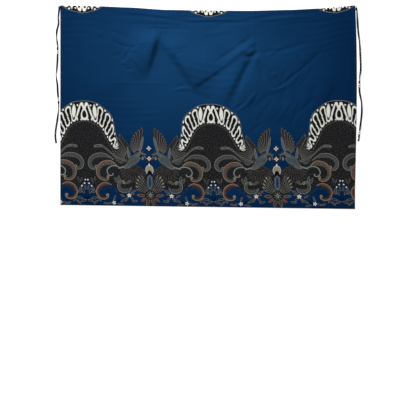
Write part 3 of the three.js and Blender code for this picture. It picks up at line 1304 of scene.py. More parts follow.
# Star flowers and sprigs of the foot.
FOOT: tuple[Shape, ...] = (
    Leaf(Axis.ARCH, (190, 30), 46, 9, 24, Dye.BLACK, Dye.LINE),
    Leaf(Axis.ARCH, (203, 36), 30, 8, 62, Dye.UMBER, Dye.HUSK),
    Leaf(Axis.ARCH, (229, 38), 28, 9, 128, Dye.BLACK, Dye.LINE),
    Leaf(Axis.ARCH, (238, 74), 28, 9, 24, Dye.UMBER, Dye.HUSK),
    Leaf(Axis.ARCH, (232, 62), 22, 7, 160, Dye.BLACK, Dye.LINE),
    Leaf(Axis.ARCH, (158, 22), 26, 8, 30, Dye.BLACK),
    Leaf(Axis.ARCH, (118, 14), 26, 8, 12, Dye.BLACK, Dye.LINE),
    Leaf(Axis.ARCH, (170, 8), 30, 8, 170, Dye.BLACK, Dye.LINE),
    Blossom(Axis.ARCH, (215, 53), 11.5, 5, 18, Dye.CREAM, Dye.UMBER),
    Blossom(Axis.ARCH, (137, 16), 10.5, 5, 40, Dye.CREAM, Dye.UMBER),
    Leaf(Axis.ARCH, (20, 74), 30, 11, 62, Dye.BLACK, Dye.LINE),
    Leaf(Axis.ARCH, (36, 70), 26, 10, 10, Dye.UMBER, Dye.HUSK),
    Leaf(Axis.ARCH, (33, 86), 22, 8, 118, Dye.BLACK, Dye.LINE),
    Leaf(Axis.ARCH, (8, 90), 22, 8, 80, Dye.BLACK, Dye.LINE),
    Leaf(Axis.ARCH, (38, 38), 36, 10, 14, Dye.BLACK, Dye.LINE),
    Leaf(Axis.ARCH, (18, 24), 34, 9, 160, Dye.BLACK, Dye.LINE),
    Leaf(Axis.ARCH, (44, 18), 30, 8, 40, Dye.UMBER, Dye.HUSK),
    Leaf(Axis.ARCH, (6, 40), 26, 8, 70, Dye.BLACK),
    Leaf(Axis.ARCH, (244, 24), 30, 9, 10, Dye.BLACK, Dye.LINE),
    Leaf(Axis.ARCH, (181, 52), 26, 8, 150, Dye.UMBER, Dye.HUSK),
    Leaf(Axis.ARCH, (140, 40), 26, 8, 70, Dye.BLACK, Dye.LINE),
    Leaf(Axis.ARCH, (96, 12), 28, 8, 168, Dye.UMBER, Dye.HUSK),
    Leaf(Axis.ARCH, (64, 30), 24, 8, 120, Dye.BLACK, Dye.LINE),
    Leaf(Axis.ARCH, (28, 128), 34, 9, 118, Dye.CRACKLE),
    Leaf(Axis.ARCH, (42, 134), 30, 9, 80, Dye.CRACKLE),
)


@dataclass(frozen=True)
class BatikPrint:
    """The border cloth: a blue field, with mirrored borders of arches, birds and palmettes.

    Sizes are in millimetres on the flat cloth. Across runs along the cloth's edge, and up from it.
    """

    name: str = "batik_print"
    cloth_width: float = 1506.0
    repeat: float = 647.0
    arch_axis: float = 103.0
    edge: float = 1.7
    wobble: float = 3.0
    wobble_scale: float = 0.022
    ground: Ground = Ground()
    band: ArchBand = ArchBand()
    plume: Plume = Plume()
    scrolls_behind: tuple[Scroll, ...] = (
        Scroll((42, 206), 13, 1, 105, 17, 1.0, (15, 6), 5.2, Dye.ASH, Dye.GREY, Dye.LINE, 30),
        Scroll((96, 163), 34, 1, 72, 26, 0.60, (14, 6), 4.7, Dye.RUST, Dye.GREY, Dye.HUSK),
    )
    scrolls_before: tuple[Scroll, ...] = (
        Scroll((125, 168), 24, 1, 55, 14, 0.9, (3.4, 2.4), 5.2, Dye.GREY, Dye.GREY, Dye.MIST),
        Scroll((185, 102), -9, -1, 44, 20, 1.2, (13, 6), 4.8, Dye.ASH, Dye.GREY, Dye.LINE, 18),
        Scroll((86, 66), 44, 1, 56, 27, 0.9, (11, 6), 4.8, Dye.RUST, Dye.BROWN, Dye.HUSK),
    )
    tail_and_far_wing: tuple[Plumage, ...] = (
        Plumage((238, 212), 246, 112, 12, (70, 26), 0.0, 0.24, Dye.SOOT, Dye.LINE),
        Plumage((224, 241), -20, -125, 14, (66, 88), 1.0, 0.34, Dye.SOOT, Dye.MIST, 0.85),
    )
    near_wing: Plumage = Plumage((271, 256), 11, -60, 10, (48, 143), 1.15, 0.55, Dye.UMBER, Dye.MIST, 0.8)
    shapes: tuple[Shape, ...] = CROWN + BIRD + CURLED_LEAF + PALMETTE + BUD_FLOWERS + FOOT
    apex_dots: tuple[Pair, ...] = ((6.6, 129.4), (11.4, 111.6), (24.6, 99.0))
    apex_dot: float = 3.526

    def build(self) -> bpy.types.ShaderNodeTree:
        """Makes the node group that gives the print's colour, with painted shade on its blue field, at a
        place on the flat cloth.

        Returns:
            The group, with a Cloth input in millimetres and a Color output.
        """
        tree, flat = new_group(self.name, Color="NodeSocketColor")
        painter = Painter(tree, self.edge)
        place = self.hand_drawn(flat)
        across, up = place.parts()
        mirrored = {
            Axis.ARCH: place,
            Axis.PALMETTE: Place.of(across.scaled(-1.0, self.repeat / 2), up),
        }
        self.ground.lay(painter, flat, place)
        behind = (*self.scrolls_behind, *self.tail_and_far_wing, self.plume)
        before = (*self.scrolls_before, self.near_wing, self.band)
        for motif in behind + before:
            motif.draw(painter, place)
        for shape in self.shapes:
            shape.draw(painter, mirrored[shape.axis])
        self.ground.speckle(painter, flat, place)
        for dot in self.apex_dots:
            painter.fill(Dye.CREAM, place.distance(*dot) - self.apex_dot)
        result = tree.nodes.new("NodeGroupOutput")
        tree.links.new(painter.colour, result.inputs["Color"])
        return tree

    def hand_drawn(self, flat: Place) -> Place:
        """Folds the cloth onto one half repeat, with the waver of hand-drawn wax lines.

        Args:
            flat: A place on the whole cloth.

        Returns:
            The place from the nearest arch axis and from the nearer edge of the cloth.
        """
        waver = flat.noise(self.wobble_scale, 2.0)
        shift = flat.tree.nodes.new("ShaderNodeVectorMath")
        shift.operation = "MULTIPLY_ADD"
        flat.tree.links.new(waver.outputs["Color"], shift.inputs[0])
        shift.inputs[1].default_value = (self.wobble, self.wobble, 0.0)
        flat.tree.links.new(flat.socket, shift.inputs[2])
        x, y = Place(flat.tree, shift.outputs["Vector"]).parts()
        half = self.wobble / 2
        across = (x - (self.arch_axis + half)).math("PINGPONG", self.repeat / 2)
        up = (y - half).math("PINGPONG", self.cloth_width / 2)
        return Place.of(across, up)


class Painter:
    """Paints dyes over each other on one group's colour."""

    RIM_INSET = 0.6
    RIM_WIDTH = 1.5
    RIM_SHARE = 0.85

    def __init__(
        self, tree: bpy.types.NodeTree, edge: float, ground: Union[Dye, bpy.types.NodeSocket] = Dye.BLUE
    ) -> None:
        """Starts with the ground that is painted on.

        Args:
            tree: The group that the nodes go in.
            edge: Width over which one dye runs into the next, in millimetres.
            ground: One dye, or the socket of a colour.
        """
        self.tree = tree
        self.edge = edge
        if isinstance(ground, Dye):
            plain = tree.nodes.new("ShaderNodeRGB")
            plain.outputs[0].default_value = ground.value
            ground = plain.outputs[0]
        self.colour = ground

    def fill(self, dye: Dye, distance: Term, share: float = 1.0, soft: float = 0.0) -> None:
        """Paints a dye where the distance is below zero.

        Args:
            dye: What is painted.
            distance: Distance past the shape's edge, in millimetres.
            share: How much of the dye covers.
            soft: Width of the shape's edge, or 0 for the cloth's own.
        """
        mask = distance.scaled(-share / (soft or self.edge), 0.5 * share)
        self.cover(dye, mask if share == 1.0 else mask.least(share))

    def line(self, dye: Dye, distance: Term, width: float, share: float = 1.0) -> None:
        """Paints a dye along the line where the distance is zero.

        Args:
            dye: What is painted.
            distance: Distance from the line, in millimetres.
            width: The line's width.
            share: How much of the dye covers.
        """
        self.fill(dye, abs(distance) - width / 2, share)

    def rimmed(self, dye: Dye, distance: Term, rim: Optional[Dye]) -> None:
        """Paints a dye where the distance is below zero, with a line just inside its edge.

        Args:
            dye: What is painted.
            distance: Distance past the shape's edge, in millimetres.
            rim: The line's dye, or None for no line.
        """
        self.fill(dye, distance)
        if rim is not None:
            self.line(rim, distance + self.RIM_INSET, self.RIM_WIDTH, self.RIM_SHARE)

    def cover(self, dye: Dye, mask: Term) -> None:
        """Mixes a dye over what is painted so far.

        The mix keeps the mask from 0 to 1 by itself. No math node clamps, because the renderer
        works those out last too.

        Args:
            dye: What is painted.
            mask: How much of it covers.
        """
        self.colour = mixed(self.tree, mask, self.colour, dye.value)


# ---------------------------------------------------------------- finishes


@dataclass(frozen=True)
class CottonWeave:
    """The plain weave: slubby threads both ways, and soft unevenness of the dye."""

    name: str = "cotton_weave"
    thread: float = 1.1
    slub_length: float = 9.0
    dye_patch: Pair = (160.0, 120.0)
    dye_change: float = 0.26
    thread_change: float = 0.16

    def build(self) -> bpy.types.ShaderNodeTree:
        """Makes the node group of the weave.

        Returns:
            The group, with a Cloth input in millimetres, and Height and Tone outputs.
        """
        tree, flat = new_group(self.name, Height="NodeSocketFloat", Tone="NodeSocketFloat")
        warp = self.layer(flat.seen_from((0, 0), 0.0, (self.thread, self.slub_length)), 1.0)
        weft = self.layer(flat.seen_from((7, 3), 0.0, (self.slub_length, self.thread)), 1.0)
        broad = self.layer(flat.seen_from((0, 0), 0.0, self.dye_patch), 3.0)
        result = tree.nodes.new("NodeGroupOutput")
        tree.links.new((warp + weft).socket, result.inputs["Height"])
        tone = (broad - 0.5).scaled(self.dye_change, 1.0) + ((warp + weft) - 1.0) * self.thread_change
        tree.links.new(tone.socket, result.inputs["Tone"])
        return tree

    def layer(self, place: Place, detail: float) -> Term:
        """One layer of noise, about 0.5, with this many finer layers."""
        return Term(place.tree, place.noise(1.0, detail).outputs["Fac"])


class Side(Enum):
    """The side of the cloth that a finish is for: the printed one, or its paler back."""

    FACE = 0
    BACK = 1


@dataclass(frozen=True)
class BatikCotton:
    """The finish of the printed cotton, on one side of the cloth, with a darker blue where deep."""

    name: str
    side: Side
    roughness: float = 0.78
    rough_change: float = 0.12
    sheen: float = 0.015
    sheen_roughness: float = 0.5
    specular: float = 0.03
    weave_bump: float = 0.25
    weave_depth: float = 0.0003
    back_haze: float = 0.16
    haze: Colour = linear(176, 186, 196)
    deep: bool = False
    deep_share: float = 0.85
    deep_gain: float = 12.0

    def build(
        self, print_group: bpy.types.ShaderNodeTree, weave: bpy.types.ShaderNodeTree
    ) -> bpy.types.Material:
        """Makes the material.

        Args:
            print_group: The print's node group.
            weave: The weave's node group.

        Returns:
            The material.
        """
        material = bpy.data.materials.new(self.name)
        material.use_nodes = True
        tree = material.node_tree
        shader = tree.nodes["Principled BSDF"]
        uv = tree.nodes.new("ShaderNodeUVMap")
        uv.uv_map = "cloth"
        flat = Place(tree, uv.outputs["UV"]).seen_from((0, 0), 0.0, (MM, MM))
        drawn = tree.nodes.new("ShaderNodeGroup")
        drawn.node_tree = print_group
        threads = tree.nodes.new("ShaderNodeGroup")
        threads.node_tree = weave
        for group in (drawn, threads):
            tree.links.new(flat.socket, group.inputs["Cloth"])
        colour = drawn.outputs["Color"]
        if self.deep:
            colour = self.deepened(tree, colour)
        toned = tree.nodes.new("ShaderNodeVectorMath")
        toned.operation = "SCALE"
        tree.links.new(colour, toned.inputs[0])
        tree.links.new(threads.outputs["Tone"], toned.inputs["Scale"])
        colour = toned.outputs["Vector"]
        if self.side is Side.BACK:
            colour = mixed(tree, self.back_haze, colour, self.haze)
        tree.links.new(colour, shader.inputs["Base Color"])
        tone = Term(tree, threads.outputs["Tone"])
        rough = tone.scaled(self.rough_change, self.roughness - self.rough_change)
        tree.links.new(rough.socket, shader.inputs["Roughness"])
        shader.inputs["Sheen Weight"].default_value = self.sheen
        shader.inputs["Sheen Roughness"].default_value = self.sheen_roughness
        shader.inputs["Specular IOR Level"].default_value = self.specular
        bump = tree.nodes.new("ShaderNodeBump")
        bump.inputs["Strength"].default_value = self.weave_bump
        bump.inputs["Distance"].default_value = self.weave_depth
        tree.links.new(threads.outputs["Height"], bump.inputs["Height"])
        tree.links.new(bump.outputs["Normal"], shader.inputs["Normal"])
        return material

    def deepened(self, tree: bpy.types.NodeTree, colour: bpy.types.NodeSocket) -> bpy.types.NodeSocket:
        """Darkens the print where it is blue.

        Args:
            tree: The material's tree.
            colour: The print's colour.

        Returns:
            The darker colour.
        """
        shares = tree.nodes.new("ShaderNodeSeparateColor")
        tree.links.new(colour, shares.inputs["Color"])
        red, _, blue = (Term(tree, share) for share in shares.outputs)
        blueness = ((blue - red) * (self.deep_gain * self.deep_share)).least(self.deep_share)
        darker = Painter(tree, 1.0, colour)
        darker.cover(Dye.MIDNIGHT, blueness)
        return darker.colour


@dataclass(frozen=True)
class Thread:
    """The finish of the sewing thread, with its twist as a change from dark to light."""

    name: str = "sewing_thread"
    roughness: float = 0.6
    twist_scale: float = 900.0
    dark: Colour = linear(30, 50, 84)
    light: Colour = linear(84, 104, 136)

    def build(self) -> bpy.types.Material:
        """Makes the material.

        Returns:
            The material.
        """
        material = bpy.data.materials.new(self.name)
        material.use_nodes = True
        tree = material.node_tree
        shader = tree.nodes["Principled BSDF"]
        spot = tree.nodes.new("ShaderNodeTexCoord")
        noise = tree.nodes.new("ShaderNodeTexNoise")
        noise.inputs["Scale"].default_value = self.twist_scale
        tree.links.new(spot.outputs["Object"], noise.inputs["Vector"])
        colour = mixed(tree, noise.outputs["Fac"], self.dark, self.light)
        tree.links.new(colour, shader.inputs["Base Color"])
        shader.inputs["Roughness"].default_value = self.roughness
        return material


# ---------------------------------------------------------------- pieces


def finished(name: str, shape: bmesh.types.BMesh, *finishes: bpy.types.Material) -> bpy.types.Object:
    """Turns a modelled shape into a dressed object at the origin.

    Args:
        name: The name of the object and of its mesh.
        shape: The shape, which is used up.
        finishes: The object's materials, in the order of their slots.

    Returns:
        The object, with smooth faces, in the scene.
    """
    mesh = bpy.data.meshes.new(name)
    shape.to_mesh(mesh)
    shape.free()
    mesh.polygons.foreach_set("use_smooth", [True] * len(mesh.polygons))
    for finish in finishes:
        mesh.materials.append(finish)
    obj = bpy.data.objects.new(name, mesh)
    bpy.context.scene.collection.objects.link(obj)
    return obj


@dataclass(frozen=True)
class PrintRow:
    """How the print lies on the cloth at one place along the floor, in millimetres.

    Slip moves it along the panel, and foot is what is cut off at the hem. Stretch is the border's
    height on the panel for its height in the print, and facing the print's height at the waist.
    """

    along: float
    slip: float
    foot: float
    stretch: float
    facing: float


PRINT_ROWS = (
    PrintRow(0.0, 0.0, 0.0, 1.01, 1014.0),
    PrintRow(129.0, 0.0, 0.0, 1.01, 1014.0),
    PrintRow(774.0, 5.0, 0.0, 0.994, 1010.0),
    PrintRow(1423.0, 1.0, 8.0, 1.034, 1007.0),
    PrintRow(1506.0, 1.0, 8.0, 1.034, 1007.0),
)


@dataclass
class SkirtPanel:
    """The printed panel: one cut of cloth, with its hems turned under and its darts sewn."""

    form: PanelForm
    finishes: tuple[bpy.types.Material, bpy.types.Material]
    origin: Pair
    name: str = "panel_cloth"
    columns: int = 260
    rows: int = 174
    wall: float = 1.2
    flat: Pair = (1.55, 1.045)
    hem_before: float = 3.0
    hem_after: float = 4.0
    print_lean: float = 0.035
    border: float = 560.0
    crowns: tuple[float, float, float] = (109.0, 752.0, 1403.0)
    crown_reach: float = 100.0
    facing_more: float = 5.0
    facing_dip: float = 6.0
    waist_slip: float = 6.5
    waist_slip_from: float = 800.0
    waist_slip_to: float = 990.0
    face_scale: float = 0.99
    back_scale: float = 0.42
    map_gap: float = 0.004
    back_level: float = 0.71
    strip_start: float = 0.44
    strip_scale: float = 0.54
    strip_step: float = 0.05
    strip_depth: float = 0.012
    obj: Optional[bpy.types.Object] = None

    def build(self) -> bpy.types.Object:
        """Models the panel and dresses it.

        Returns:
            The finished object.
        """
        sheet = bmesh.new()
        cloth = sheet.loops.layers.uv.new("cloth")
        bmesh.ops.create_grid(sheet, x_segments=self.columns, y_segments=self.rows, size=0.5)
        spots = np.array([vert.co[:2] for vert in sheet.verts])
        across = (spots[:, 0] + 0.5) * self.form.width
        down = (0.5 - spots[:, 1]) * self.form.left_length
        x, y = self.form.laid(across, down)
        top = self.top(across, down)
        u, v = self.print_place(across, down, x, y)
        for index, vert in enumerate(sheet.verts):
            vert.index = index
            vert.co = ((x[index] + self.origin[0]) * MM, (y[index] + self.origin[1]) * MM, top[index] * MM)
        for face in sheet.faces:
            for loop in face.loops:
                index = loop.vert.index
                loop[cloth].uv = (u[index] * MM, v[index] * MM)
        sheet.normal_update()
        self.obj = finished(self.name, sheet, *self.finishes)
        self.thicken()
        self.lay_bake_map()
        log.info("panel: %d faces", len(self.obj.data.polygons))
        return self.obj

    def top(self, across: np.ndarray, down: np.ndarray) -> np.ndarray:
        """Height of the cloth's upper side, with the doubled cloth of the hems.

        Args:
            across: Places from the left side.
            down: Places from the waist.

        Returns:
            Heights in millimetres.
        """
        side = np.minimum(across, self.form.width - across)
        doubled = [
            1.0 - ease(inwards, hem - self.hem_before, hem + self.hem_after)
            for inwards, hem in ((side, self.form.side_hem), (down, self.form.waist_hem))
        ]
        return self.form.lift(across, down) + self.wall + np.maximum(*doubled)

    def print_place(
        self, across: np.ndarray, down: np.ndarray, x: np.ndarray, y: np.ndarray
    ) -> tuple[np.ndarray, np.ndarray]:
        """Where points of the panel lie on the printed cloth.

        Args:
            across: Places from the left side.
            down: Places from the waist.
            x: The points' places on the floor.
            y: The points' places on the floor.

        Returns:
            Places along the cloth's edge and up from it, in millimetres.
        """
        table = np.array([astuple(row) for row in PRINT_ROWS]).T
        slip, foot, stretch, facing = (smooth_table(x, table[0], column) for column in table[1:])
        from_crown = np.abs(x[:, None] - np.array(self.crowns)).min(1)
        crown = np.sin(np.pi * np.minimum(from_crown / self.crown_reach, 1.0))
        facing = facing + self.facing_more - self.facing_dip * crown
        share = 1.0 - down / self.form.left_length
        height = (y - self.form.laid(across, np.full_like(down, self.form.left_length))[1]) - foot
        slip = slip - self.waist_slip * ease(height, self.waist_slip_from, self.waist_slip_to)
        whole = height / np.maximum(share, 0.01)
        border = self.border / stretch
        above = border + (height - self.border) * (facing - border) / (whole - self.border)
        up = np.where(height < self.border, height / stretch, above)
        return x + slip + self.print_lean * y, up

    def thicken(self) -> None:
        """Gives the sheet its wall, with the back in its own finish and the cut edges in the face's."""
        solid = self.obj.modifiers.new("wall", "SOLIDIFY")
        solid.thickness = self.wall * MM
        solid.offset = -1.0
        solid.use_rim = True
        solid.material_offset = 1
        solid.material_offset_rim = 0
        depsgraph = bpy.context.evaluated_depsgraph_get()
        made = bpy.data.meshes.new_from_object(self.obj.evaluated_get(depsgraph), depsgraph=depsgraph)
        self.obj.modifiers.clear()
        self.obj.data = made
        made.name = self.name
        points = np.empty(len(made.vertices) * 3)
        made.vertices.foreach_get("co", points)
        points = points.reshape(-1, 3)
        points[:, 2] = np.maximum(points[:, 2], 0.0)
        made.vertices.foreach_set("co", points.ravel())
        made.polygons.foreach_set("use_smooth", [True] * len(made.polygons))
        made.update()

    def lay_bake_map(self) -> None:
        """Lays a second map: the face on most of it, the back above that, the cut edges in strips."""
        mesh = self.obj.data
        verts = np.empty(len(mesh.loops), int)
        mesh.loops.foreach_get("vertex_index", verts)
        points = np.empty(len(mesh.vertices) * 3)
        mesh.vertices.foreach_get("co", points)
        flat = points.reshape(-1, 3)[verts, :2]
        low, high = flat.min(0), flat.max(0)
        share = (flat - low) / (high - low).max()
        chosen = share * self.face_scale + self.map_gap
        sheet_verts = (self.columns + 1) * (self.rows + 1)
        for poly in mesh.polygons:
            loops = slice(poly.loop_start, poly.loop_start + poly.loop_total)
            if poly.material_index == Side.BACK.value:
                chosen[loops] = share[loops] * self.back_scale + (self.map_gap, self.back_level)
            elif len(set(verts[loops] < sheet_verts)) == 2:
                normal = poly.normal
                run = 0 if abs(normal.y) > abs(normal.x) else 1
                strip = run * 2 + int(normal[1 - run] > 0)
                over = np.where(verts[loops] < sheet_verts, 1.0, 0.0) * self.strip_depth
                along = share[loops, run] * self.strip_scale + self.strip_start
                chosen[loops] = np.stack([along, over + self.back_level + strip * self.strip_step], axis=1)
        layer = mesh.uv_layers.new(name="OFBake", do_init=False)
        layer.uv.foreach_set("vector", chosen.ravel())
        mesh.uv_layers["cloth"].active_render = True


@dataclass(frozen=True)
class TieRow:
    """One row of a tie's course: distance out from the side line, down from the waist, and roll."""

    out: float
    down: float
    roll: float


@dataclass
class WaistTie:
    """A narrow tie: a strip of the same cloth, folded and stitched, lying beside the panel.

    Its section is a ring of corners, in shares of half the width and of half the wall. It is cut
    from the print at a level, with arch_at on the arch's axis, and its back a little higher up.
    """

    name: str
    node: str
    rows: Sequence[TieRow]
    side: int
    side_line: float
    arch_at: float
    origin: Pair
    finish: bpy.types.Material
    width: float = 10.0
    wall: float = 1.8
    steps: int = 280
    level: float = 345.0
    back_shift: float = 20.0
    floor_gap: float = 0.05
    flat: Pair = (0.012, 0.7)
    section: tuple[Pair, ...] = (
        (-1.0, 0.0), (-0.93, 1.0), (0.0, 0.8), (0.93, 1.0),
        (1.0, 0.0), (0.93, -1.0), (0.0, -0.8), (-0.93, -1.0),
    )
    obj: Optional[bpy.types.Object] = None

    def course(self) -> tuple[np.ndarray, np.ndarray, np.ndarray]:
        """The tie's smooth course.

        Returns:
            Middle points in millimetres, their roll in radians and the length along the tie.
        """
        across = [self.side_line + self.side * row.out for row in self.rows]
        control = np.array([[a, -row.down, row.roll] for a, row in zip(across, self.rows)], float)
        padded = np.vstack([2 * control[0] - control[1], control, 2 * control[-1] - control[-2]])
        spans = np.linspace(0, len(control) - 1, self.steps + 1)
        index = np.minimum(spans.astype(int), len(control) - 2)
        t = (spans - index)[:, None]
        a, b, c, d = (padded[index + k] for k in range(4))
        square = 2 * a - 5 * b + 4 * c - d
        cube = 3 * b - a - 3 * c + d
        run = 0.5 * (2 * b + (c - a) * t + square * t**2 + cube * t**3)
        steps = np.hypot(*np.diff(run[:, :2], axis=0).T)
        return run[:, :2], np.radians(run[:, 2]), np.concatenate([[0.0], np.cumsum(steps)])

    def build(self) -> bpy.types.Object:
        """Models the tie and dresses it.

        Returns:
            The finished object.
        """
        middle, roll, along = self.course()
        strip = bmesh.new()
        cloth = strip.loops.layers.uv.new("cloth")
        rings = self.extruded(strip)
        self.place(rings, middle, roll)
        strip.verts.index_update()
        arch_axis = BatikPrint.arch_axis
        for face in strip.faces:
            for loop in face.loops:
                step, corner = divmod(loop.vert.index, len(self.section))
                u, v = self.section[corner]
                over = u * self.width / 2 + (self.back_shift if v < 0 else 0.0)
                loop[cloth].uv = ((along[step] - self.arch_at + arch_axis) * MM, (self.level + over) * MM)
        for verts in (rings[0], rings[-1]):
            strip.faces.new(verts)
        bmesh.ops.recalc_face_normals(strip, faces=strip.faces)
        self.obj = finished(self.name, strip, self.finish)
        log.info("%s: %.0f mm long", self.name, along[-1])
        return self.obj

    def extruded(self, strip: bmesh.types.BMesh) -> list[list[bmesh.types.BMVert]]:
        """Extrudes the ring of the section once for each step.

        Args:
            strip: Where it goes.

        Returns:
            The corners of each ring.
        """
        corners = [strip.verts.new((0.0, 0.0, 0.0)) for _ in self.section]
        edges = [strip.edges.new(pair) for pair in zip(corners, corners[1:] + corners[:1])]
        rings = [corners]
        for _ in range(self.steps):
            made = bmesh.ops.extrude_edge_only(strip, edges=edges)["geom"]
            corners = [part for part in made if isinstance(part, bmesh.types.BMVert)]
            lines = [part for part in made if isinstance(part, bmesh.types.BMEdge)]
            edges = [line for line in lines if line.verts[0] in corners and line.verts[1] in corners]
            rings.append(corners)
        return rings

    def place(self, rings: list[list[bmesh.types.BMVert]], middle: np.ndarray, roll: np.ndarray) -> None:
        """Moves each ring to its place on the course, so high that it rests on the floor.

        Args:
            rings: The corners of each ring.
            middle: Middle points in millimetres.
            roll: Their roll in radians.
        """
        tangent = np.gradient(middle, axis=0)
        tangent /= np.linalg.norm(tangent, axis=1)[:, None]
        sideways = np.stack([-tangent[:, 1], tangent[:, 0]], axis=1)
        half, thick = self.width / 2, self.wall / 2
        reach = half * np.abs(np.sin(roll)) + thick * np.abs(np.cos(roll))
        for step, corners in enumerate(rings):
            cos, sin = math.cos(roll[step]), math.sin(roll[step])
            for vert, (u, v) in zip(corners, self.section):
                x, y = middle[step] + sideways[step] * (u * half * cos - v * thick * sin)
                z = reach[step] + u * half * sin + v * thick * cos + self.floor_gap
                vert.co = ((x + self.origin[0]) * MM, (y + self.origin[1]) * MM, z * MM)


LEFT_TIE = (
    TieRow(5.3, 4, 0), TieRow(5.5, 20, 0), TieRow(10, 58, 40), TieRow(9, 92, 14), TieRow(17, 128, 0),
    TieRow(19, 160, 62), TieRow(14, 204, 20), TieRow(14, 265, 0), TieRow(17, 320, 30), TieRow(21, 355, 70),
    TieRow(15, 400, 16), TieRow(13, 440, 0), TieRow(9, 485, 24), TieRow(9, 528, 66), TieRow(14, 575, 12),
    TieRow(23, 632, 0), TieRow(25, 665, 20), TieRow(21, 700, 0),
)
RIGHT_TIE = (
    TieRow(5.9, 4, 0), TieRow(7.3, 20, 0), TieRow(10, 48, 56), TieRow(13, 92, 10), TieRow(17, 140, 0),
    TieRow(22, 186, 60), TieRow(26, 240, 14), TieRow(29, 322, 0), TieRow(23, 366, 66), TieRow(22, 410, 12),
    TieRow(24, 446, 0), TieRow(32, 492, 58), TieRow(34, 545, 10), TieRow(29, 596, 0), TieRow(23, 640, 30),
    TieRow(17, 690, 0),
)


@dataclass
class HemStitching:
    """The machine stitches that hold the side hems and the waist hem."""

    form: PanelForm
    origin: Pair
    finish: bpy.types.Material
    surface: Callable[[np.ndarray, np.ndarray], np.ndarray]
    name: str = "hem_stitches"
    length: float = 2.6
    gauge: float = 0.55
    gap: float = 1.0
    inset: float = 1.6
    proud: float = 0.2
    waist_ends: float = 14.0
    side_ends: Pair = (6.0, 4.0)

    def lines(self) -> list[tuple[np.ndarray, np.ndarray]]:
        """Spaces the stitches out along the hems.

        Returns:
            The middle of each stitch, as places across and down, for each line of sewing.
        """
        step = self.length + self.gap
        first, last = self.side_ends
        side_downs = np.arange(first, self.form.left_length - last, step)
        left = np.full_like(side_downs, self.form.side_hem - self.inset)
        right = np.full_like(side_downs, self.form.width - self.form.side_hem + self.inset)
        acrosses = np.arange(self.waist_ends, self.form.width - self.waist_ends, step)
        waist = np.full_like(acrosses, self.form.waist_hem - self.inset)
        return [(left, side_downs), (right, side_downs), (acrosses, waist)]

    def build(self) -> bpy.types.Object:
        """Models every stitch as one joined mesh.

        Returns:
            The finished object.
        """
        seam = bmesh.new()
        for across, down in self.lines():
            x, y = self.form.laid(across, down)
            z = self.surface(across, down)
            headings = np.arctan2(np.gradient(y), np.gradient(x))
            slopes = np.arctan2(np.gradient(z), np.hypot(np.gradient(x), np.gradient(y)))
            for place in zip(x, y, z, headings, slopes):
                self.stitch(seam, *place)
        obj = finished(self.name, seam, self.finish)
        log.info("stitches: %d faces", len(obj.data.polygons))
        return obj

    def stitch(
        self, seam: bmesh.types.BMesh, x: float, y: float, z: float, heading: float, slope: float
    ) -> None:
        """Adds one stitch: a short spindle of thread with its ends drawn into the cloth.

        Args:
            seam: Where it goes.
            x: Its middle on the floor, in millimetres.
            y: Its middle on the floor, in millimetres.
            z: Height of the cloth's top there.
            heading: Direction of the sewing, in radians.
            slope: Slope of the cloth along it, in radians.
        """
        turn = Matrix.Rotation(heading, 4, "Z") @ Matrix.Rotation(-slope, 4, "Y")
        size = Matrix.Diagonal((self.length / 2 * MM, self.gauge / 2 * MM, self.gauge / 2 * MM, 1.0))
        height = z + self.gauge * self.proud
        spot = Vector(((x + self.origin[0]) * MM, (y + self.origin[1]) * MM, height * MM))
        matrix = Matrix.Translation(spot) @ turn @ size
        bmesh.ops.create_icosphere(seam, subdivisions=1, radius=1.0, matrix=matrix)


# ---------------------------------------------------------------- studio


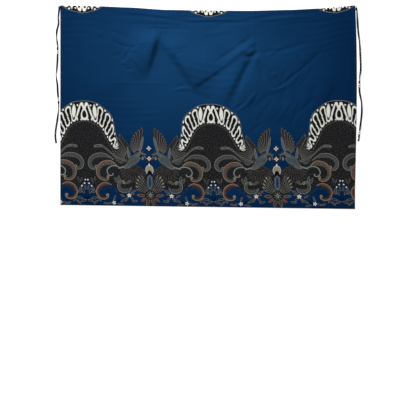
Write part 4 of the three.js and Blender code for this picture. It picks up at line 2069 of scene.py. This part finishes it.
@dataclass(frozen=True)
class Studio:
    """A white floor, soft light from beyond the waist edge, and a camera looking straight down."""

    frame_width: float = 2.1133
    focal_length: float = 100.0
    sensor: float = 36.0
    aim: Pair = (-0.0028, -0.5119)
    far_clip: float = 50.0
    room_light: float = 0.34
    key_spot: tuple[float, float, float] = (-1.5, 4.1, 2.2)
    key_size: float = 1.2
    key_power: float = 292.0
    white: Colour = (1.0, 1.0, 1.0, 1.0)
    floor_size: float = 14.0
    floor_gap: float = 0.0005
    floor_colour: Colour = (0.6, 0.6, 0.6, 1.0)
    floor_glow: float = 0.7
    floor_roughness: float = 0.9

    def build(self) -> bpy.types.Object:
        """Makes the studio.

        Returns:
            The floor, which isn't part of the object.
        """
        self.world()
        self.key_light()
        self.camera()
        return self.floor()

    def camera(self) -> None:
        """Places the camera so that the frame spans frame_width on the floor."""
        data = bpy.data.cameras.new("camera")
        data.lens = self.focal_length
        data.sensor_width = self.sensor
        data.clip_end = self.far_clip
        camera = bpy.data.objects.new("camera", data)
        camera.location = (*self.aim, self.frame_width * self.focal_length / self.sensor)
        bpy.context.scene.collection.objects.link(camera)
        bpy.context.scene.camera = camera
        bpy.context.scene.view_settings.view_transform = "Standard"

    def world(self) -> None:
        """Lights the room evenly with white."""
        world = bpy.data.worlds.new("room")
        world.use_nodes = True
        backdrop = world.node_tree.nodes["Background"]
        backdrop.inputs["Color"].default_value = self.white
        backdrop.inputs["Strength"].default_value = self.room_light
        bpy.context.scene.world = world

    def key_light(self) -> None:
        """Hangs a soft square light beyond the waist edge, turned to the origin."""
        data = bpy.data.lights.new("key", "AREA")
        data.size = self.key_size
        data.energy = self.key_power
        light = bpy.data.objects.new("key", data)
        light.location = self.key_spot
        light.rotation_euler = (-Vector(self.key_spot)).to_track_quat("-Z", "Y").to_euler()
        bpy.context.scene.collection.objects.link(light)

    def floor(self) -> bpy.types.Object:
        """Lays the white floor.

        Returns:
            The floor.
        """
        paint = bpy.data.materials.new("floor_paint")
        paint.use_nodes = True
        looks = {
            "Base Color": self.floor_colour,
            "Emission Color": self.white,
            "Emission Strength": self.floor_glow,
            "Roughness": self.floor_roughness,
            "Specular IOR Level": 0.0,
        }
        for socket, value in looks.items():
            paint.node_tree.nodes["Principled BSDF"].inputs[socket].default_value = value
        sheet = bmesh.new()
        bmesh.ops.create_grid(sheet, x_segments=1, y_segments=1, size=self.floor_size / 2)
        floor = finished("floor", sheet, paint)
        floor.location.z = -self.floor_gap
        return floor


def main() -> None:
    """Builds the studio and the skirt, and declares each piece to the frame."""
    logging.basicConfig(level=logging.INFO, format="%(name)s: %(message)s")
    floor = Studio().build()

    form = PanelForm()
    low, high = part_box("skirt_panel")
    origin = (low.x / MM, high.y / MM)
    print_group = BatikPrint().build()
    weave = CottonWeave().build()
    face = BatikCotton("batik_face", Side.FACE).build(print_group, weave)
    back = BatikCotton("batik_back", Side.BACK).build(print_group, weave)
    deep = BatikCotton("batik_deep", Side.FACE, deep=True).build(print_group, weave)
    log.info("print: %d nodes", len(print_group.nodes))

    panel = SkirtPanel(form, (face, back), origin)
    cloth = panel.build()
    ties = [
        WaistTie("tie_cloth_left", "tie_left", LEFT_TIE, -1, 0.0, 355.0, origin, deep),
        WaistTie("tie_cloth_right", "tie_right", RIGHT_TIE, 1, form.width, 525.0, origin, deep),
    ]
    for tie in ties:
        tie.build()
    sewn = HemStitching(form, origin, Thread().build(), panel.top).build()

    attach(cloth, "root")
    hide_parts("skirt_panel")
    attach(sewn, "root")
    for tie in ties:
        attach(tie.obj, "root")
        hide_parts(tie.node)


if __name__ == "__main__":
    main()
